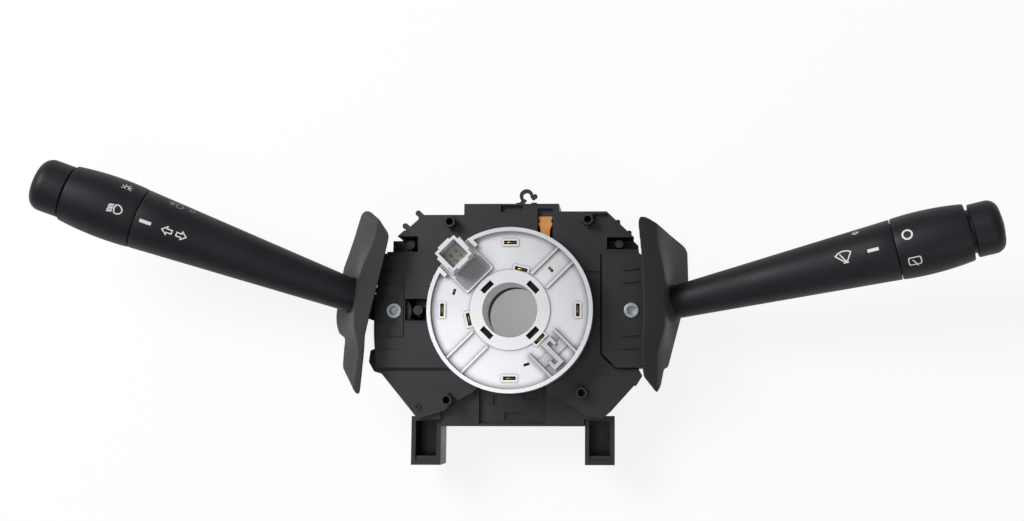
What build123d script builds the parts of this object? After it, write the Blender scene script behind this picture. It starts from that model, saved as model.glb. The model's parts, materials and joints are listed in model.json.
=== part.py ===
"""Combination stalk switch with a contact reel, for a steering column (build123d, millimetres).

Frame: Z runs along the steering shaft towards the driver, Y points up, X to the driver's right.
The origin is on the shaft axis at the rear face of the column collar.
Lengths "out" are measured from a stalk's pivot, level, along its stalk. Lengths "along" are
measured from the same pivot on the stalk's own raised axis.
"""
from build123d import *
from math import cos, radians, sin, sqrt, tan
import os

os.makedirs("parts", exist_ok=True)

# ---------------------------------------------------------------- driving dimensions

# fits
running_fit = 0.05          # radial, a shaft turning in its hole
slack = 0.3                 # between pieces that move past each other

# levels along the shaft axis
collar_height = 8.0         # the collar stands this far behind the back plate
back_plate = 2.5
housing_front = 34.0        # joint face of housing and front cover
shelf_drop = 2.0            # the lower centre of the housing lies this much lower
cover_thickness = 2.5
left_cover_thickness = 3.5
right_cover_thickness = 6.0
reel_face = 50.0
rim_height = 2.6            # the reel's edge bead above its face
screw_tube_top = 43.0

# steering shaft, sleeve and collar
shaft_bore_r = 12.0
hub_wall = 0.75             # thin wall between the shaft bore and the hook slots
sleeve_wall = 2.3
cam_height = 1.0            # self-cancelling lobes on the sleeve
collar_bore_r = 18.0
collar_wall = 3.0
collar_slit = 3.0
clamp_band = 1.2
clamp_width = 5.0
clamp_screw_r = 2.0

# housing plan
tab_left, tab_right, tab_top = -22.2, 20.4, 48.8
shoulder_left, shoulder_right = 43.8, 45.3
foot_half, foot_bottom = 31.8, -50.4
leg_centre = 38.7
leg_width = 13.2
leg_end = -67.5
leg_start = -46.0
leg_back, leg_front = 12.0, 30.0
leg_wall = 1.9

# switch cases, mirrored left and right
pivot_up = 0.6
pivot_inset = 7.4           # the pivots lie this far inside the cases' outer walls
case_inner, case_outer = 27.0, 60.2
case_bottom, case_top = -24.6, 26.2
case_wall = 1.6
window_low, window_high = -13.0, 17.0      # side opening that the stalk swings in
board_thickness = 1.6
right_cover_inner = 39.7

# pivot pins: rivets with a blind bore in the front end
pin_r = 2.6
pin_bore_r = 1.85
pin_bore_depth = 2.5
pin_head_r = 3.45
pin_head = 0.8

# stalks
stalk_level = 24.0          # height of the point where the stalk axis meets the pivot axis
stalk_rise = 12.8           # degrees towards the driver
neutral_angle = 12.6        # degrees above level, both stalks
latch_angle = 7.1           # the left stalk stands one turn-signal step above neutral
cross_pin_along = 11.0
cross_pin_r = 1.5
fork_half = 7.2
arm_half = 4.4
stalk_root, stalk_seam, knob_end, stalk_tip = 18.0, 120.2, 151.6, 166.4
root_r, seam_r = 7.24, 13.35
knob_seam_r, knob_belly_r, knob_end_r = 13.45, 13.95, 12.4
knob_belly_share = 0.33     # the knobs are thickest a third of the way out
register_r, register_height = 11.5, 1.8     # step that closes the seam under the knob's edge
tip_r = 11.6
shell_wall = 2.2
seam_gap = 0.6
button_gap = 1.8
button_travel = 1.5
spigot_r = 8.0

# shroud at the stalk root
shroud_wall = 1.6
shroud_collar_wall = 1.2
shroud_collar_end = 20.0

# contact reel
reel_r = 36.0
bead_width = 1.7
skirt_wall = 1.3
reel_thickness = 2.6
reel_base_floor = 2.0
ribbon_thickness = 0.5
ribbon_turns = 6
hook_slot_r = 14.05
hook_slot_length, hook_slot_width = 6.0, 2.5

# screw tubes for the column trim, left to right, top to bottom
screw_tubes = ((-27.9, 39.9), (33.4, 40.8), (-28.2, -38.9), (30.9, -35.7))
screw_tube_r = 2.4
gusset_reach = 0.9
screw_hole_r = 1.6
screw_hole_depth = 12.0

# connectors in the lower edge, centre and half width
connector_back, connector_front = 13.0, 27.0
connector_wall = 1.2
connector_depth = 11.0
connectors = (("left", -21.0, 8.5, 6), ("reel", 0.0, 5.5, 3), ("right", 21.0, 8.5, 6))

contact_width = 0.7
connector_row = 4.0

# wells and windows round the cases
well_depth = 12.0
left_well = (-42.8, 27.1, 34.1)
right_well = (41.9, 28.1, 33.6)
corner_cut = 6.2
groove_depth = 0.8
cover_gap = 1.4             # groove below the left cover; the one round the right cover is half of it
slot_depth = 1.4
well_post_r = 1.9
window_floor = 15.0
tube_depth = 6.0
ledge_height = 8.0

# wire hook
hook_x, hook_y, hook_r = 5.6, 52.7, 2.4
hook_depth = 3.0

# clamp
clamp_level = 1.5
clamp_gap = 3.0
ear_thickness, ear_length = 2.0, 8.0

# contact slides under the carriers, measured from the shaft axis outwards
slide_clear, slide_width = 6.5, 8.0
slide_thickness = 2.2
slide_half = 7.0
rail_width, rail_half = 1.2, 13.0
pivot_boss_r = 4.6
peg_angle = 158.7
peg_reach = 10.6
peg_r, peg_foot_r = 2.15, 1.5
slot_reach, slot_play = 10.2, 1.2

# carriers
fork_end = 14.5
eye_r = 4.4
detent_angle = 194.0
detent_level = 28.5
barrel_r, barrel_end = 3.0, 11.0
arm_end = 48.0

# detents: plunger, its spring and the notches of the track (turn of the stalk in degrees)
plunger_r, plunger_back = 1.5, 7.6
spring_seat = 5.0
track_r = 14.1
track_low, track_high = 26.0, 31.0
notches = {"left": (0, 7.1, 14.2), "right": (-15, -10, -5, 0, 5)}

# knob and button
spigot_end = 145.0
spigot_bore_r = 5.6
spring_hole_r = 3.0
mouth_r = 9.8
neck_play = 0.3
neck_end = 147.0
stem_length = 10.0
tip_round = 5.0

# shrouds: lines (out, level) across them, slim at the ends and fuller beside the stalk, (up) where
left_shroud_slim = ((1.5, 55.6), (9.5, 50.2), (12.3, 46.4), (21.5, 32.0), (33.0, 12.0))
left_shroud_full = ((1.5, 55.6), (13.4, 48.8), (16.2, 45.0), (21.0, 31.0), (33.0, 12.0))
right_shroud_slim = ((1.5, 55.6), (9.5, 50.2), (12.3, 46.4), (19.0, 30.0), (29.5, 8.0))
right_shroud_full = ((1.5, 55.6), (12.6, 49.0), (15.3, 45.2), (18.6, 30.0), (29.5, 8.0))
full_from, full_to = -5.0, 13.0
slim_below, slim_above = -18.0, 27.0
shroud_half = 60.0
# outlines (out, up) as the driver sees them
left_shroud_outline = [(3.8, 31.1), (4.7, 32.9), (10.0, 38.5), (16.7, 42.7), (19.5, 43.4),
                       (22.2, 42.4), (25.1, 31.2), (30.1, 17.6), (30.5, -4.3), (29.1, -8.9),
                       (26.4, -12.7), (21.1, -14.8), (19.6, -27.8), (8.7, -38.3), (7.1, -38.1),
                       (7.1, -35.5), (7.9, -19.6), (8.5, -12.7), (7.4, -2.5), (4.7, 19.6)]
right_shroud_outline = [(2.8, 37.2), (3.4, 39.8), (5.8, 40.2), (24.6, 31.2), (26.2, 29.0),
                        (26.6, 16.8), (26.4, 8.0), (22.7, -2.1), (16.1, -25.3), (14.2, -25.8),
                        (12.7, -33.3), (10.8, -36.6), (4.8, -29.1), (4.4, -18.1), (5.0, 3.5),
                        (4.0, 25.1)]

# reel details: (radius, angle) places on the disc
hub_bottom = 45.0
skirt_bottom = 40.0
base_wall = 1.4
bore_ring_r, bore_ring_height = 17.4, 0.8
channel_half, rib_width, rib_height = 4.5, 0.9, 1.2
window_length, window_width, window_frame = 5.6, 1.6, 0.5
framed_windows = ((29.5, 0), (29.5, 90), (29.5, 180), (29.5, 270), (18.4, 75), (18.3, 193), (18.0, -44))
small_window_length, small_window_width = 2.6, 1.2
small_windows = ((25.0, 45), (25.6, 162), (24.7, -72.6))
hook_angles = (45, 135, 225, 315)
sleeve_top = 46.0
cam_level, cam_width, cam_lobes = 24.0, 5.0, 3
socket_angle = 135
socket_seat_r = 33.0
socket_seat_half = 8.4
socket_slab = 1.2
socket_side, socket_height, socket_wall = 11.3, 11.0, 1.2
latch_place = -45
latch_inset = 9.6
latch_side = 7.6            # half width between the latch's side walls

# ---------------------------------------------------------------- derived sizes

pivot_out = case_outer - pivot_inset
latch_radius = reel_r - latch_inset
peg_window_outer, peg_window_inner = pivot_out - 5.0, pivot_out - 14.7
slide_outer = pivot_out - slide_clear
slide_inner = slide_outer - slide_width
floor_z = collar_height
floor_top = floor_z + back_plate
cover_front = housing_front + cover_thickness
sleeve_in_r = shaft_bore_r + hub_wall
sleeve_out_r = sleeve_in_r + sleeve_wall
cam_r = sleeve_out_r + cam_height
centre_bore_r = cam_r + slack
stalk_axis_out = cos(radians(stalk_rise))
cross_pin_out = cross_pin_along * stalk_axis_out
cross_pin_level = stalk_level + cross_pin_along * sin(radians(stalk_rise))
case_floor = floor_top + case_wall
board_top = case_floor + board_thickness
slide_bottom = board_top + 1.4
slide_top = slide_bottom + slide_thickness
carrier_bottom, carrier_top = 18.0, housing_front - slack
reel_under = reel_face - reel_thickness
reel_base_top = reel_under - slack
skirt_in_r = reel_r - skirt_wall
base_out_r = skirt_in_r - slack

tail_x, tail_room = 14.2, 3.4
knob_start = stalk_seam + seam_gap
knob_belly = knob_start + knob_belly_share * (knob_end - knob_start)
register_end = stalk_seam + register_height
stem_end = neck_end - stem_length
fork_bottom = carrier_bottom + 1.5

hands = (("left", -1, 180 - neutral_angle - latch_angle), ("right", 1, neutral_angle))


def flat_frame(side, azimuth, level):
    """Level plane at a stalk's pivot: x runs out along the stalk, z along the shaft axis."""
    out = (cos(radians(azimuth)), sin(radians(azimuth)), 0)
    return Plane(origin=(side * pivot_out, pivot_up, level), x_dir=out, z_dir=(0, 0, 1))


def stalk_frame(side, azimuth):
    """Upright plane through a stalk's axis: x runs along the stalk, y towards the driver."""
    rise, turn = radians(stalk_rise), radians(azimuth)
    along = (cos(rise) * cos(turn), cos(rise) * sin(turn), sin(rise))
    across = (sin(turn), -cos(turn), 0)
    return Plane(origin=(side * pivot_out, pivot_up, stalk_level), x_dir=along, z_dir=across)


def upright_frame(side, azimuth):
    """Upright plane at a stalk's pivot: x runs level out along azimuth, y towards the driver."""
    out = (cos(radians(azimuth)), sin(radians(azimuth)), 0)
    across = (sin(radians(azimuth)), -cos(radians(azimuth)), 0)
    return Plane(origin=(side * pivot_out, pivot_up, 0), x_dir=out, z_dir=across)


def outward_frame(side, azimuth, level):
    """Plane at a stalk's pivot that faces level outwards along azimuth."""
    out = (cos(radians(azimuth)), sin(radians(azimuth)), 0)
    return Plane(origin=(side * pivot_out, pivot_up, level), x_dir=(0, 0, 1), z_dir=out)


def box_sketch(x_1, x_2, y_1, y_2, mode=Mode.ADD):
    """A rectangle given by two opposite corners, in the sketch being built."""
    with Locations(((x_1 + x_2) / 2, (y_1 + y_2) / 2)):
        Rectangle(abs(x_2 - x_1), abs(y_2 - y_1), mode=mode)


def polar_spot(radius, angle):
    """A place on the reel at a radius and an angle, turned so that its x runs along the rim."""
    turn = radians(angle)
    return Location((radius * cos(turn), radius * sin(turn)), angle - 90)


# ---------------------------------------------------------------- fixed body: housing and covers

left_edge, right_edge = 3.7 - case_outer, case_outer - 4.0
upper_left = [(tab_left, tab_top), (tab_left, shoulder_left), (-41.3, shoulder_left),
              (-52.4, 33.8), (left_edge, 33.8)]
upper_right = [(right_edge, 31.5), (41.8, shoulder_right), (tab_right, shoulder_right),
               (tab_right, tab_top)]
lower_left = [(-case_outer, case_bottom), (-43.0, -45.4), (-41.4, -47.2)]
lower_right = [(39.8, -47.0), (43.5, -44.0), (right_edge, -30.0)]
lug_outline = [(50.8, -25.5), (56.0, -25.2), (57.6, -28.2), (54.8, -32.6), (50.4, -31.6)]


with BuildPart() as rear_housing:
    with BuildSketch(Plane.XY.offset(floor_z)):
        Polygon(*upper_left, (left_edge, case_bottom), *lower_left,
                (-foot_half, -47.2), (-foot_half, foot_bottom), (foot_half, foot_bottom),
                (foot_half, -47.0), *lower_right, *upper_right, align=None)
    extrude(amount=housing_front - floor_z)
    # pockets for the switch cases, open at the sides, and the hollow behind the upper cover
    with BuildSketch(Plane.XY.offset(floor_top)):
        for side in (-1, 1):
            box_sketch(side * case_inner, side * 2 * case_outer, case_bottom, case_top)
        box_sketch(-20.0, 39.0, case_top + 2.0, shoulder_left - 2.0)
        box_sketch(-38.0, -22.2, case_top + 2.0, shoulder_left - 2.0)
    extrude(amount=housing_front - floor_top, mode=Mode.SUBTRACT)
    # wells beside the covers' corners
    with BuildSketch(Plane.XY.offset(housing_front - well_depth)):
        box_sketch(-2 * case_outer, *left_well)
        box_sketch(2 * case_outer, *right_well)
    extrude(amount=well_depth, mode=Mode.SUBTRACT)
    with BuildSketch(Plane.XY.offset(housing_front - well_depth)):
        with Locations((-46.6, 30.6), (47.3, 31.0)):
            Circle(well_post_r)
    extrude(amount=well_depth - 1.0)
    # lower shelf with its recess
    with BuildSketch(Plane.XY.offset(housing_front - shelf_drop)):
        box_sketch(-2 * case_outer, 2 * case_outer, 2 * foot_bottom, -47.2)
        box_sketch(-foot_half, foot_half, 2 * foot_bottom, -33.0)
    extrude(amount=shelf_drop, mode=Mode.SUBTRACT)
    with BuildSketch(Plane.XY.offset(housing_front - shelf_drop - 3.0)):
        box_sketch(-15.0, 14.5, -49.2, -33.0)
    extrude(amount=3.0, mode=Mode.SUBTRACT)
    # slots in the recess's floor
    with BuildSketch(Plane.XY.offset(housing_front - shelf_drop - 3.0)):
        box_sketch(-9.1, -7.2, -40.8, -36.2)
        box_sketch(4.4, 11.2, -38.6, -36.0)
        box_sketch(-3.9, 3.2, -47.4, -44.3)
    extrude(amount=-slot_depth, mode=Mode.SUBTRACT)
    # connector wells, open downwards
    with BuildSketch(Plane.XZ.offset(-foot_bottom)):
        for name, centre, half, ways in connectors:
            box_sketch(centre - half, centre + half, connector_back, connector_front)
    extrude(amount=-(connector_depth + connector_wall), mode=Mode.SUBTRACT)
    # holes that the screw tubes stand in
    with BuildSketch(Plane.XY.offset(housing_front - tube_depth)):
        with Locations(screw_tubes):
            Circle(screw_tube_r + slack)
    extrude(amount=tube_depth, mode=Mode.SUBTRACT)
    # rivet holes
    with BuildSketch(Plane.XY.offset(floor_z)):
        with Locations((-pivot_out, pivot_up), (pivot_out, pivot_up)):
            Circle(pin_r + running_fit)
    extrude(amount=back_plate, mode=Mode.SUBTRACT)
    # column tube and slit collar
    with BuildSketch():
        Circle(collar_bore_r + collar_wall)
    extrude(amount=collar_height)
    with BuildSketch():
        Circle(collar_bore_r)
    extrude(amount=collar_height, mode=Mode.SUBTRACT)
    with BuildSketch(Plane.XY.offset(collar_height)):
        Circle(centre_bore_r)
    extrude(amount=housing_front, mode=Mode.SUBTRACT)
    with BuildSketch():
        with PolarLocations(collar_bore_r + collar_wall / 2, 4, start_angle=90):
            Rectangle(collar_wall + 2.0, collar_slit)
    extrude(amount=collar_height - 1.0, mode=Mode.SUBTRACT)
    # two channel legs, open to the front, each with a ledge across its end
    for side in (-1, 1):
        leg_low, leg_high = side * leg_centre - leg_width / 2, side * leg_centre + leg_width / 2
        with BuildSketch(Plane.XY.offset(leg_back)):
            box_sketch(leg_low, leg_high, leg_end, leg_start)
        extrude(amount=leg_front - leg_back)
        with BuildSketch(Plane.XY.offset(leg_back + leg_wall)):
            box_sketch(leg_low + leg_wall, leg_high - leg_wall, leg_end + leg_wall, leg_start - leg_wall)
        extrude(amount=leg_front - leg_back, mode=Mode.SUBTRACT)
        with BuildSketch(Plane.XY.offset(leg_front - ledge_height - 1.0)):
            box_sketch(leg_low + leg_wall, leg_high - leg_wall, leg_end + leg_wall, leg_end + 4.0)
        extrude(amount=ledge_height)
    # pegs and lugs round the edge: slanted corners, lower left and lower right
    with BuildSketch(Plane.XY.offset(window_floor)):
        with Locations((-43.2, 44.9), (-49.0, 39.1)):
            Circle(1.3)
        with Locations(Location((-42.3, 43.9), 132), Location((-48.1, 38.3), 132)):
            Rectangle(3.4, 1.4)
        with Locations((46.8, 40.8), (51.9, 35.9)):
            Circle(1.1)
        Polygon((-case_outer - slack, -15.5), (-case_outer - 3.4, -17.0), (-case_outer - 4.0, -22.0),
                (-case_outer - 1.6, -26.2), (2.2 - case_outer, -27.4), (1.6 - case_outer, case_bottom - slack),
                (-case_outer - slack, case_bottom - slack), align=None)
    extrude(amount=housing_front - window_floor)
    with BuildSketch(Plane.XY.offset(leg_front)):
        Polygon(*lug_outline, align=None)
    extrude(amount=housing_front - leg_front)
    # wire hook on the upper edge
    with BuildSketch(Plane.XY.offset(housing_front - hook_depth)):
        with BuildLine():
            hook_arc = CenterArc((hook_x, hook_y), hook_r, -10, 250)
            Line(hook_arc @ 1, (hook_x - 3.2, tab_top - 0.2))
        trace(line_width=1.5)
        with Locations((hook_x + hook_r + 0.6, hook_y - 0.6), (hook_x + hook_r + 1.5, hook_y)):
            Circle(0.95)
        box_sketch(hook_x - 4.6, hook_x - 2.2, tab_top - 0.2, tab_top + 0.9)
        box_sketch(hook_x + 2.2, hook_x + 4.6, tab_top - 0.2, tab_top + 0.9)
    extrude(amount=hook_depth)

rear_housing.part.label = "rear_housing"
export_step(rear_housing.part, "parts/rear_housing.step")

with BuildPart() as front_cover:
    with BuildSketch(Plane.XY.offset(housing_front)):
        Polygon(*upper_left,
                (left_edge, case_top), (-case_inner, case_top), (-case_inner, case_bottom - cover_gap),
                (-59.0, case_bottom - cover_gap), *lower_left[1:], (-30.0, -43.5), (-22.0, -38.0), (-17.7, -35.8), (-15.0, -33.0),
                (15.0, -33.0), (15.8, -36.6), (20.7, -37.8), (33.1, -45.6), *lower_right,
                (right_edge, case_bottom - cover_gap / 2),
                (right_cover_inner + corner_cut - cover_gap / 4, case_bottom - cover_gap / 2),
                (right_cover_inner - cover_gap / 2, case_bottom + corner_cut - cover_gap / 4),
                (right_cover_inner - cover_gap / 2, case_top), (right_edge, case_top),
                *upper_right, align=None)
    extrude(amount=cover_thickness)
    # screw tubes, each on two crossed gussets
    with BuildSketch(Plane.XY.offset(housing_front - tube_depth)):
        with Locations(screw_tubes):
            Circle(screw_tube_r)
    extrude(amount=screw_tube_top - housing_front + tube_depth)
    with BuildSketch(Plane.XY.offset(cover_front)):
        with Locations(screw_tubes):
            Rectangle(2 * (screw_tube_r + gusset_reach), 1.0)
            Rectangle(1.0, 2 * (screw_tube_r + gusset_reach))
    extrude(amount=2.4)
    with BuildSketch(Plane.XY.offset(screw_tube_top)):
        with Locations(screw_tubes):
            Circle(screw_hole_r)
    extrude(amount=-screw_hole_depth, mode=Mode.SUBTRACT)
    # column opening
    with BuildSketch(Plane.XY.offset(housing_front)):
        Circle(centre_bore_r)
    extrude(amount=cover_thickness, mode=Mode.SUBTRACT)
    # windows: hook root, ribbon tab, corner slots and the wells beside the cases
    with BuildSketch(Plane.XY.offset(housing_front)):
        box_sketch(-5.7, 4.3, 44.8, 48.0)
        box_sketch(tail_x - tail_room, tail_x + tail_room, 33.0, 46.6)
        box_sketch(35.6, 42.3, 41.2, 44.2)
        with Locations(Location((-45.2, 38.9), 45)):
            Rectangle(8.0, 2.7)
        box_sketch(-2 * case_outer, *left_well)
        box_sketch(2 * case_outer, *right_well)
    extrude(amount=cover_thickness, mode=Mode.SUBTRACT)
    # step beside the right cover and the small peg at the lower left
    with BuildSketch(Plane.XY.offset(cover_front - groove_depth)):
        box_sketch(31.7, right_cover_inner, 17.7, 18.3)
    extrude(amount=groove_depth, mode=Mode.SUBTRACT)
    with BuildSketch(Plane.XY.offset(cover_front)):
        with Locations((-41.8, -41.7)):
            Circle(1.5)
            Circle(0.7, mode=Mode.SUBTRACT)
    extrude(amount=1.2)
    # lug at the lower right, which carries on from the housing's
    with BuildSketch(Plane.XY.offset(housing_front)):
        Polygon(*lug_outline, align=None)
    extrude(amount=cover_thickness + 0.6)

front_cover.part.label = "front_cover"
export_step(front_cover.part, "parts/front_cover.step")

# ---------------------------------------------------------------- fixed body: switch cases

for hand, side, azimuth in hands:
    with BuildPart() as switch_case:
        with BuildSketch(Plane.XY.offset(floor_top)):
            box_sketch(side * case_inner, side * case_outer, case_bottom, case_top)
        extrude(amount=housing_front - floor_top)
        with BuildSketch(Plane.XY.offset(case_floor)):
            box_sketch(side * (case_inner + case_wall), side * (case_outer - case_wall),
                       case_bottom + case_wall, case_top - case_wall)
        extrude(amount=housing_front - case_floor, mode=Mode.SUBTRACT)
        # opening that the stalk swings in
        with BuildSketch(Plane.XY.offset(window_floor)):
            box_sketch(side * (case_outer - 2 * case_wall), side * (case_outer + case_wall),
                       window_low, window_high)
        extrude(amount=housing_front - window_floor, mode=Mode.SUBTRACT)
        # pivot boss and the two rails of the contact slide
        with BuildSketch(Plane.XY.offset(case_floor)):
            with Locations((side * pivot_out, pivot_up)):
                Circle(pivot_boss_r)
        extrude(amount=carrier_bottom - slack - case_floor)
        with BuildSketch(Plane.XY.offset(case_floor)):
            for edge in (slide_inner - slack, slide_outer + slack + rail_width):
                box_sketch(side * (edge - rail_width), side * edge, -rail_half, rail_half)
        extrude(amount=slide_top - case_floor)
        with BuildSketch(Plane.XY.offset(floor_top)):
            with Locations((side * pivot_out, pivot_up)):
                Circle(pin_r + running_fit)
        extrude(amount=housing_front - floor_top, mode=Mode.SUBTRACT)
        # detent track: a shelf with one notch for each position of the stalk
        with BuildSketch(Plane.XY.offset(track_low)):
            box_sketch(side * (case_inner + case_wall / 2), side * (pivot_out - 10.0), -12.5, 2.5)
            with Locations((side * pivot_out, pivot_up)):
                Circle(track_r, mode=Mode.SUBTRACT)
                for notch in notches[hand]:
                    with PolarLocations(track_r, 1, start_angle=azimuth + side * detent_angle + notch):
                        Circle(plunger_r, mode=Mode.SUBTRACT)
        extrude(amount=track_high - track_low)
    switch_case.part.label = f"{hand}_switch_case"
    export_step(switch_case.part, f"parts/{hand}_switch_case.step")

    with BuildPart() as circuit_board:
        with BuildSketch(Plane.XY.offset(case_floor)):
            box_sketch(side * (case_inner + case_wall + 0.4), side * (slide_outer + slack),
                       case_bottom + case_wall + 0.4, case_top - case_wall - 0.4)
            box_sketch(side * (slide_inner - 2 * slack - rail_width), side * slide_inner,
                       -rail_half - slack, rail_half + slack, mode=Mode.SUBTRACT)
            box_sketch(side * slide_outer, side * (slide_outer + 2.0),
                       -rail_half - slack, rail_half + slack, mode=Mode.SUBTRACT)
        extrude(amount=board_thickness)
    circuit_board.part.label = f"{hand}_circuit_board"
    export_step(circuit_board.part, f"parts/{hand}_circuit_board.step")

with BuildPart() as left_switch_cover:
    with BuildSketch(Plane.XY.offset(housing_front)):
        with BuildLine():
            Polyline((2.8 - case_outer, case_top), (-case_inner, case_top), (-case_inner, case_bottom),
                     (0.2 - case_outer, case_bottom))
            ThreePointArc((0.2 - case_outer, case_bottom), (-case_outer - 1.4, -3.0), (2.8 - case_outer, case_top))
        make_face()
    extrude(amount=left_cover_thickness)
    with BuildSketch(Plane.XY.offset(housing_front)):
        with Locations((-pivot_out, pivot_up)):
            Circle(pin_r + running_fit)
        box_sketch(-peg_window_outer, -peg_window_inner, -3.9, 5.9)
    extrude(amount=left_cover_thickness, mode=Mode.SUBTRACT)
    # the edge under the reel is thinner
    with BuildSketch(Plane.XY.offset(cover_front)):
        Circle(reel_r + 2 * slack)
    extrude(amount=left_cover_thickness, mode=Mode.SUBTRACT)
    # short rib slots at the edge and the outline of the snap tongue
    with BuildSketch(Plane.XY.offset(housing_front + left_cover_thickness - groove_depth)):
        for slot_y in (18.3, 12.8, 6.4, -4.2, -11.1, -16.6):
            Polygon((-58.6, slot_y + 0.9), (-58.6, slot_y - 0.7), (-55.0, slot_y - 0.55), (-51.5, slot_y - 0.2),
                    (-51.5, slot_y + 0.2), (-55.0, slot_y + 0.55), align=None)
        box_sketch(-48.6, -48.2, -11.1, 12.8)
        box_sketch(-53.0, -48.2, 12.6, 13.0)
        box_sketch(-53.0, -48.2, -11.3, -10.9)
    extrude(amount=groove_depth, mode=Mode.SUBTRACT)
    # lips of the channel between window and reel
    with BuildSketch(Plane.XY.offset(housing_front + left_cover_thickness)):
        box_sketch(-peg_window_outer, -reel_r - 1.2, 5.9, 6.7)
        box_sketch(-peg_window_outer, -reel_r - 1.2, -4.7, -3.9)
    extrude(amount=groove_depth / 2)
left_switch_cover.part.label = "left_switch_cover"
export_step(left_switch_cover.part, "parts/left_switch_cover.step")

with BuildPart() as right_switch_cover:
    with BuildSketch(Plane.XY.offset(housing_front)):
        Polygon((right_cover_inner, case_bottom + corner_cut),
                (right_cover_inner + corner_cut, case_bottom), (right_edge, case_bottom),
                (case_outer, case_bottom + 4.0), (case_outer, case_top - 4.0),
                (right_edge, case_top), (right_cover_inner, case_top), align=None)
    extrude(amount=right_cover_thickness)
    with BuildSketch(Plane.XY.offset(housing_front)):
        with Locations((pivot_out, pivot_up)):
            Circle(pin_r + running_fit)
    extrude(amount=right_cover_thickness, mode=Mode.SUBTRACT)
    with BuildSketch(Plane.XY.offset(housing_front + right_cover_thickness - groove_depth)):
        for slot_y in (18.2, 12.5, -11.2, -16.7):
            Polygon((case_outer - 12.0, slot_y), (case_outer - 6.5, slot_y + 0.45), (case_outer - 3.2, slot_y + 1.0),
                    (case_outer - 3.2, slot_y - 0.9), (case_outer - 6.5, slot_y - 0.45), align=None)
    extrude(amount=groove_depth, mode=Mode.SUBTRACT)
right_switch_cover.part.label = "right_switch_cover"
export_step(right_switch_cover.part, "parts/right_switch_cover.step")

for side, hand, cover_thick in ((-1, "left", left_cover_thickness), (1, "right", right_cover_thickness)):
    with BuildPart() as pivot_pin:
        with BuildSketch(Plane.XY.offset(floor_z - pin_head)):
            with Locations((side * pivot_out, pivot_up)):
                Circle(pin_head_r)
        extrude(amount=pin_head)
        with BuildSketch(Plane.XY.offset(floor_z)):
            with Locations((side * pivot_out, pivot_up)):
                Circle(pin_r)
        extrude(amount=housing_front + cover_thick - floor_z)
        with BuildSketch(Plane.XY.offset(housing_front + cover_thick)):
            with Locations((side * pivot_out, pivot_up)):
                Circle(pin_head_r)
        extrude(amount=pin_head)
        chamfer(pivot_pin.edges().filter_by(GeomType.CIRCLE).sort_by(Axis.Z)[-1], 0.3)
        with BuildSketch(Plane.XY.offset(housing_front + cover_thick + pin_head)):
            with Locations((side * pivot_out, pivot_up)):
                Circle(pin_bore_r)
        extrude(amount=-pin_bore_depth, mode=Mode.SUBTRACT)
    pivot_pin.part.label = f"{hand}_pivot_pin"
    export_step(pivot_pin.part, f"parts/{hand}_pivot_pin.step")

# ---------------------------------------------------------------- fixed body: connectors and clamp

for name, centre, half, ways in connectors:
    inner_half = half - connector_wall
    with BuildPart() as connector:
        with BuildSketch(Plane.XZ.offset(-foot_bottom)):
            box_sketch(centre - half, centre + half, connector_back, connector_front)
        extrude(amount=-(connector_depth + connector_wall))
        with BuildSketch(Plane.XZ.offset(-foot_bottom)):
            box_sketch(centre - inner_half, centre + inner_half,
                       connector_back + connector_wall, connector_front - connector_wall)
        extrude(amount=-connector_depth, mode=Mode.SUBTRACT)
    connector.part.label = f"{name}_connector"
    export_step(connector.part, f"parts/{name}_connector.step")

    pitch = 2 * inner_half / ways
    with BuildPart() as connector_pins:
        with BuildSketch(Plane.XZ.offset(-foot_bottom - connector_depth)):
            with Locations((centre, (connector_back + connector_front) / 2)):
                with GridLocations(pitch, connector_row, ways, 2):
                    Rectangle(contact_width, contact_width)
        extrude(amount=connector_depth - 4.0)
    connector_pins.part.label = f"{name}_connector_pins"
    export_step(connector_pins.part, f"parts/{name}_connector_pins.step")

band_r = collar_bore_r + collar_wall
with BuildPart() as column_clamp:
    with BuildSketch(Plane.XY.offset(clamp_level)):
        Circle(band_r + clamp_band)
        for side in (-1, 1):
            box_sketch(side * clamp_gap / 2, side * (clamp_gap / 2 + ear_thickness), -band_r - ear_length, -band_r)
        Circle(band_r, mode=Mode.SUBTRACT)
        box_sketch(-clamp_gap / 2, clamp_gap / 2, -2 * band_r, -band_r + 2.0, mode=Mode.SUBTRACT)
    extrude(amount=clamp_width)
    with BuildSketch(Plane.YZ.offset(-band_r)):
        with Locations((-band_r - ear_length / 2 - clamp_band / 2, clamp_level + clamp_width / 2)):
            Circle(clamp_screw_r + 0.1)
    extrude(amount=2 * band_r, mode=Mode.SUBTRACT)
column_clamp.part.label = "column_clamp"
export_step(column_clamp.part, "parts/column_clamp.step")

screw_y = -band_r - ear_length / 2 - clamp_band / 2
screw_end = clamp_gap / 2 + ear_thickness
with BuildPart() as clamp_screw:
    with BuildSketch(Plane.YZ.offset(-screw_end - 4.0)):
        with Locations((screw_y, clamp_level + clamp_width / 2)):
            Circle(clamp_screw_r)
    extrude(amount=2 * screw_end + 4.0)
    with BuildSketch(Plane.YZ.offset(screw_end)):
        with Locations((screw_y, clamp_level + clamp_width / 2)):
            RegularPolygon(clamp_screw_r * 1.6, 6)
    extrude(amount=2.0)
    with BuildSketch(Plane.YZ.offset(-screw_end - 3.0)):
        with Locations((screw_y, clamp_level + clamp_width / 2)):
            RegularPolygon(clamp_screw_r * 1.6, 6)
    extrude(amount=3.0)
clamp_screw.part.label = "clamp_screw"
export_step(clamp_screw.part, "parts/clamp_screw.step")

# ---------------------------------------------------------------- contact reel

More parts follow.
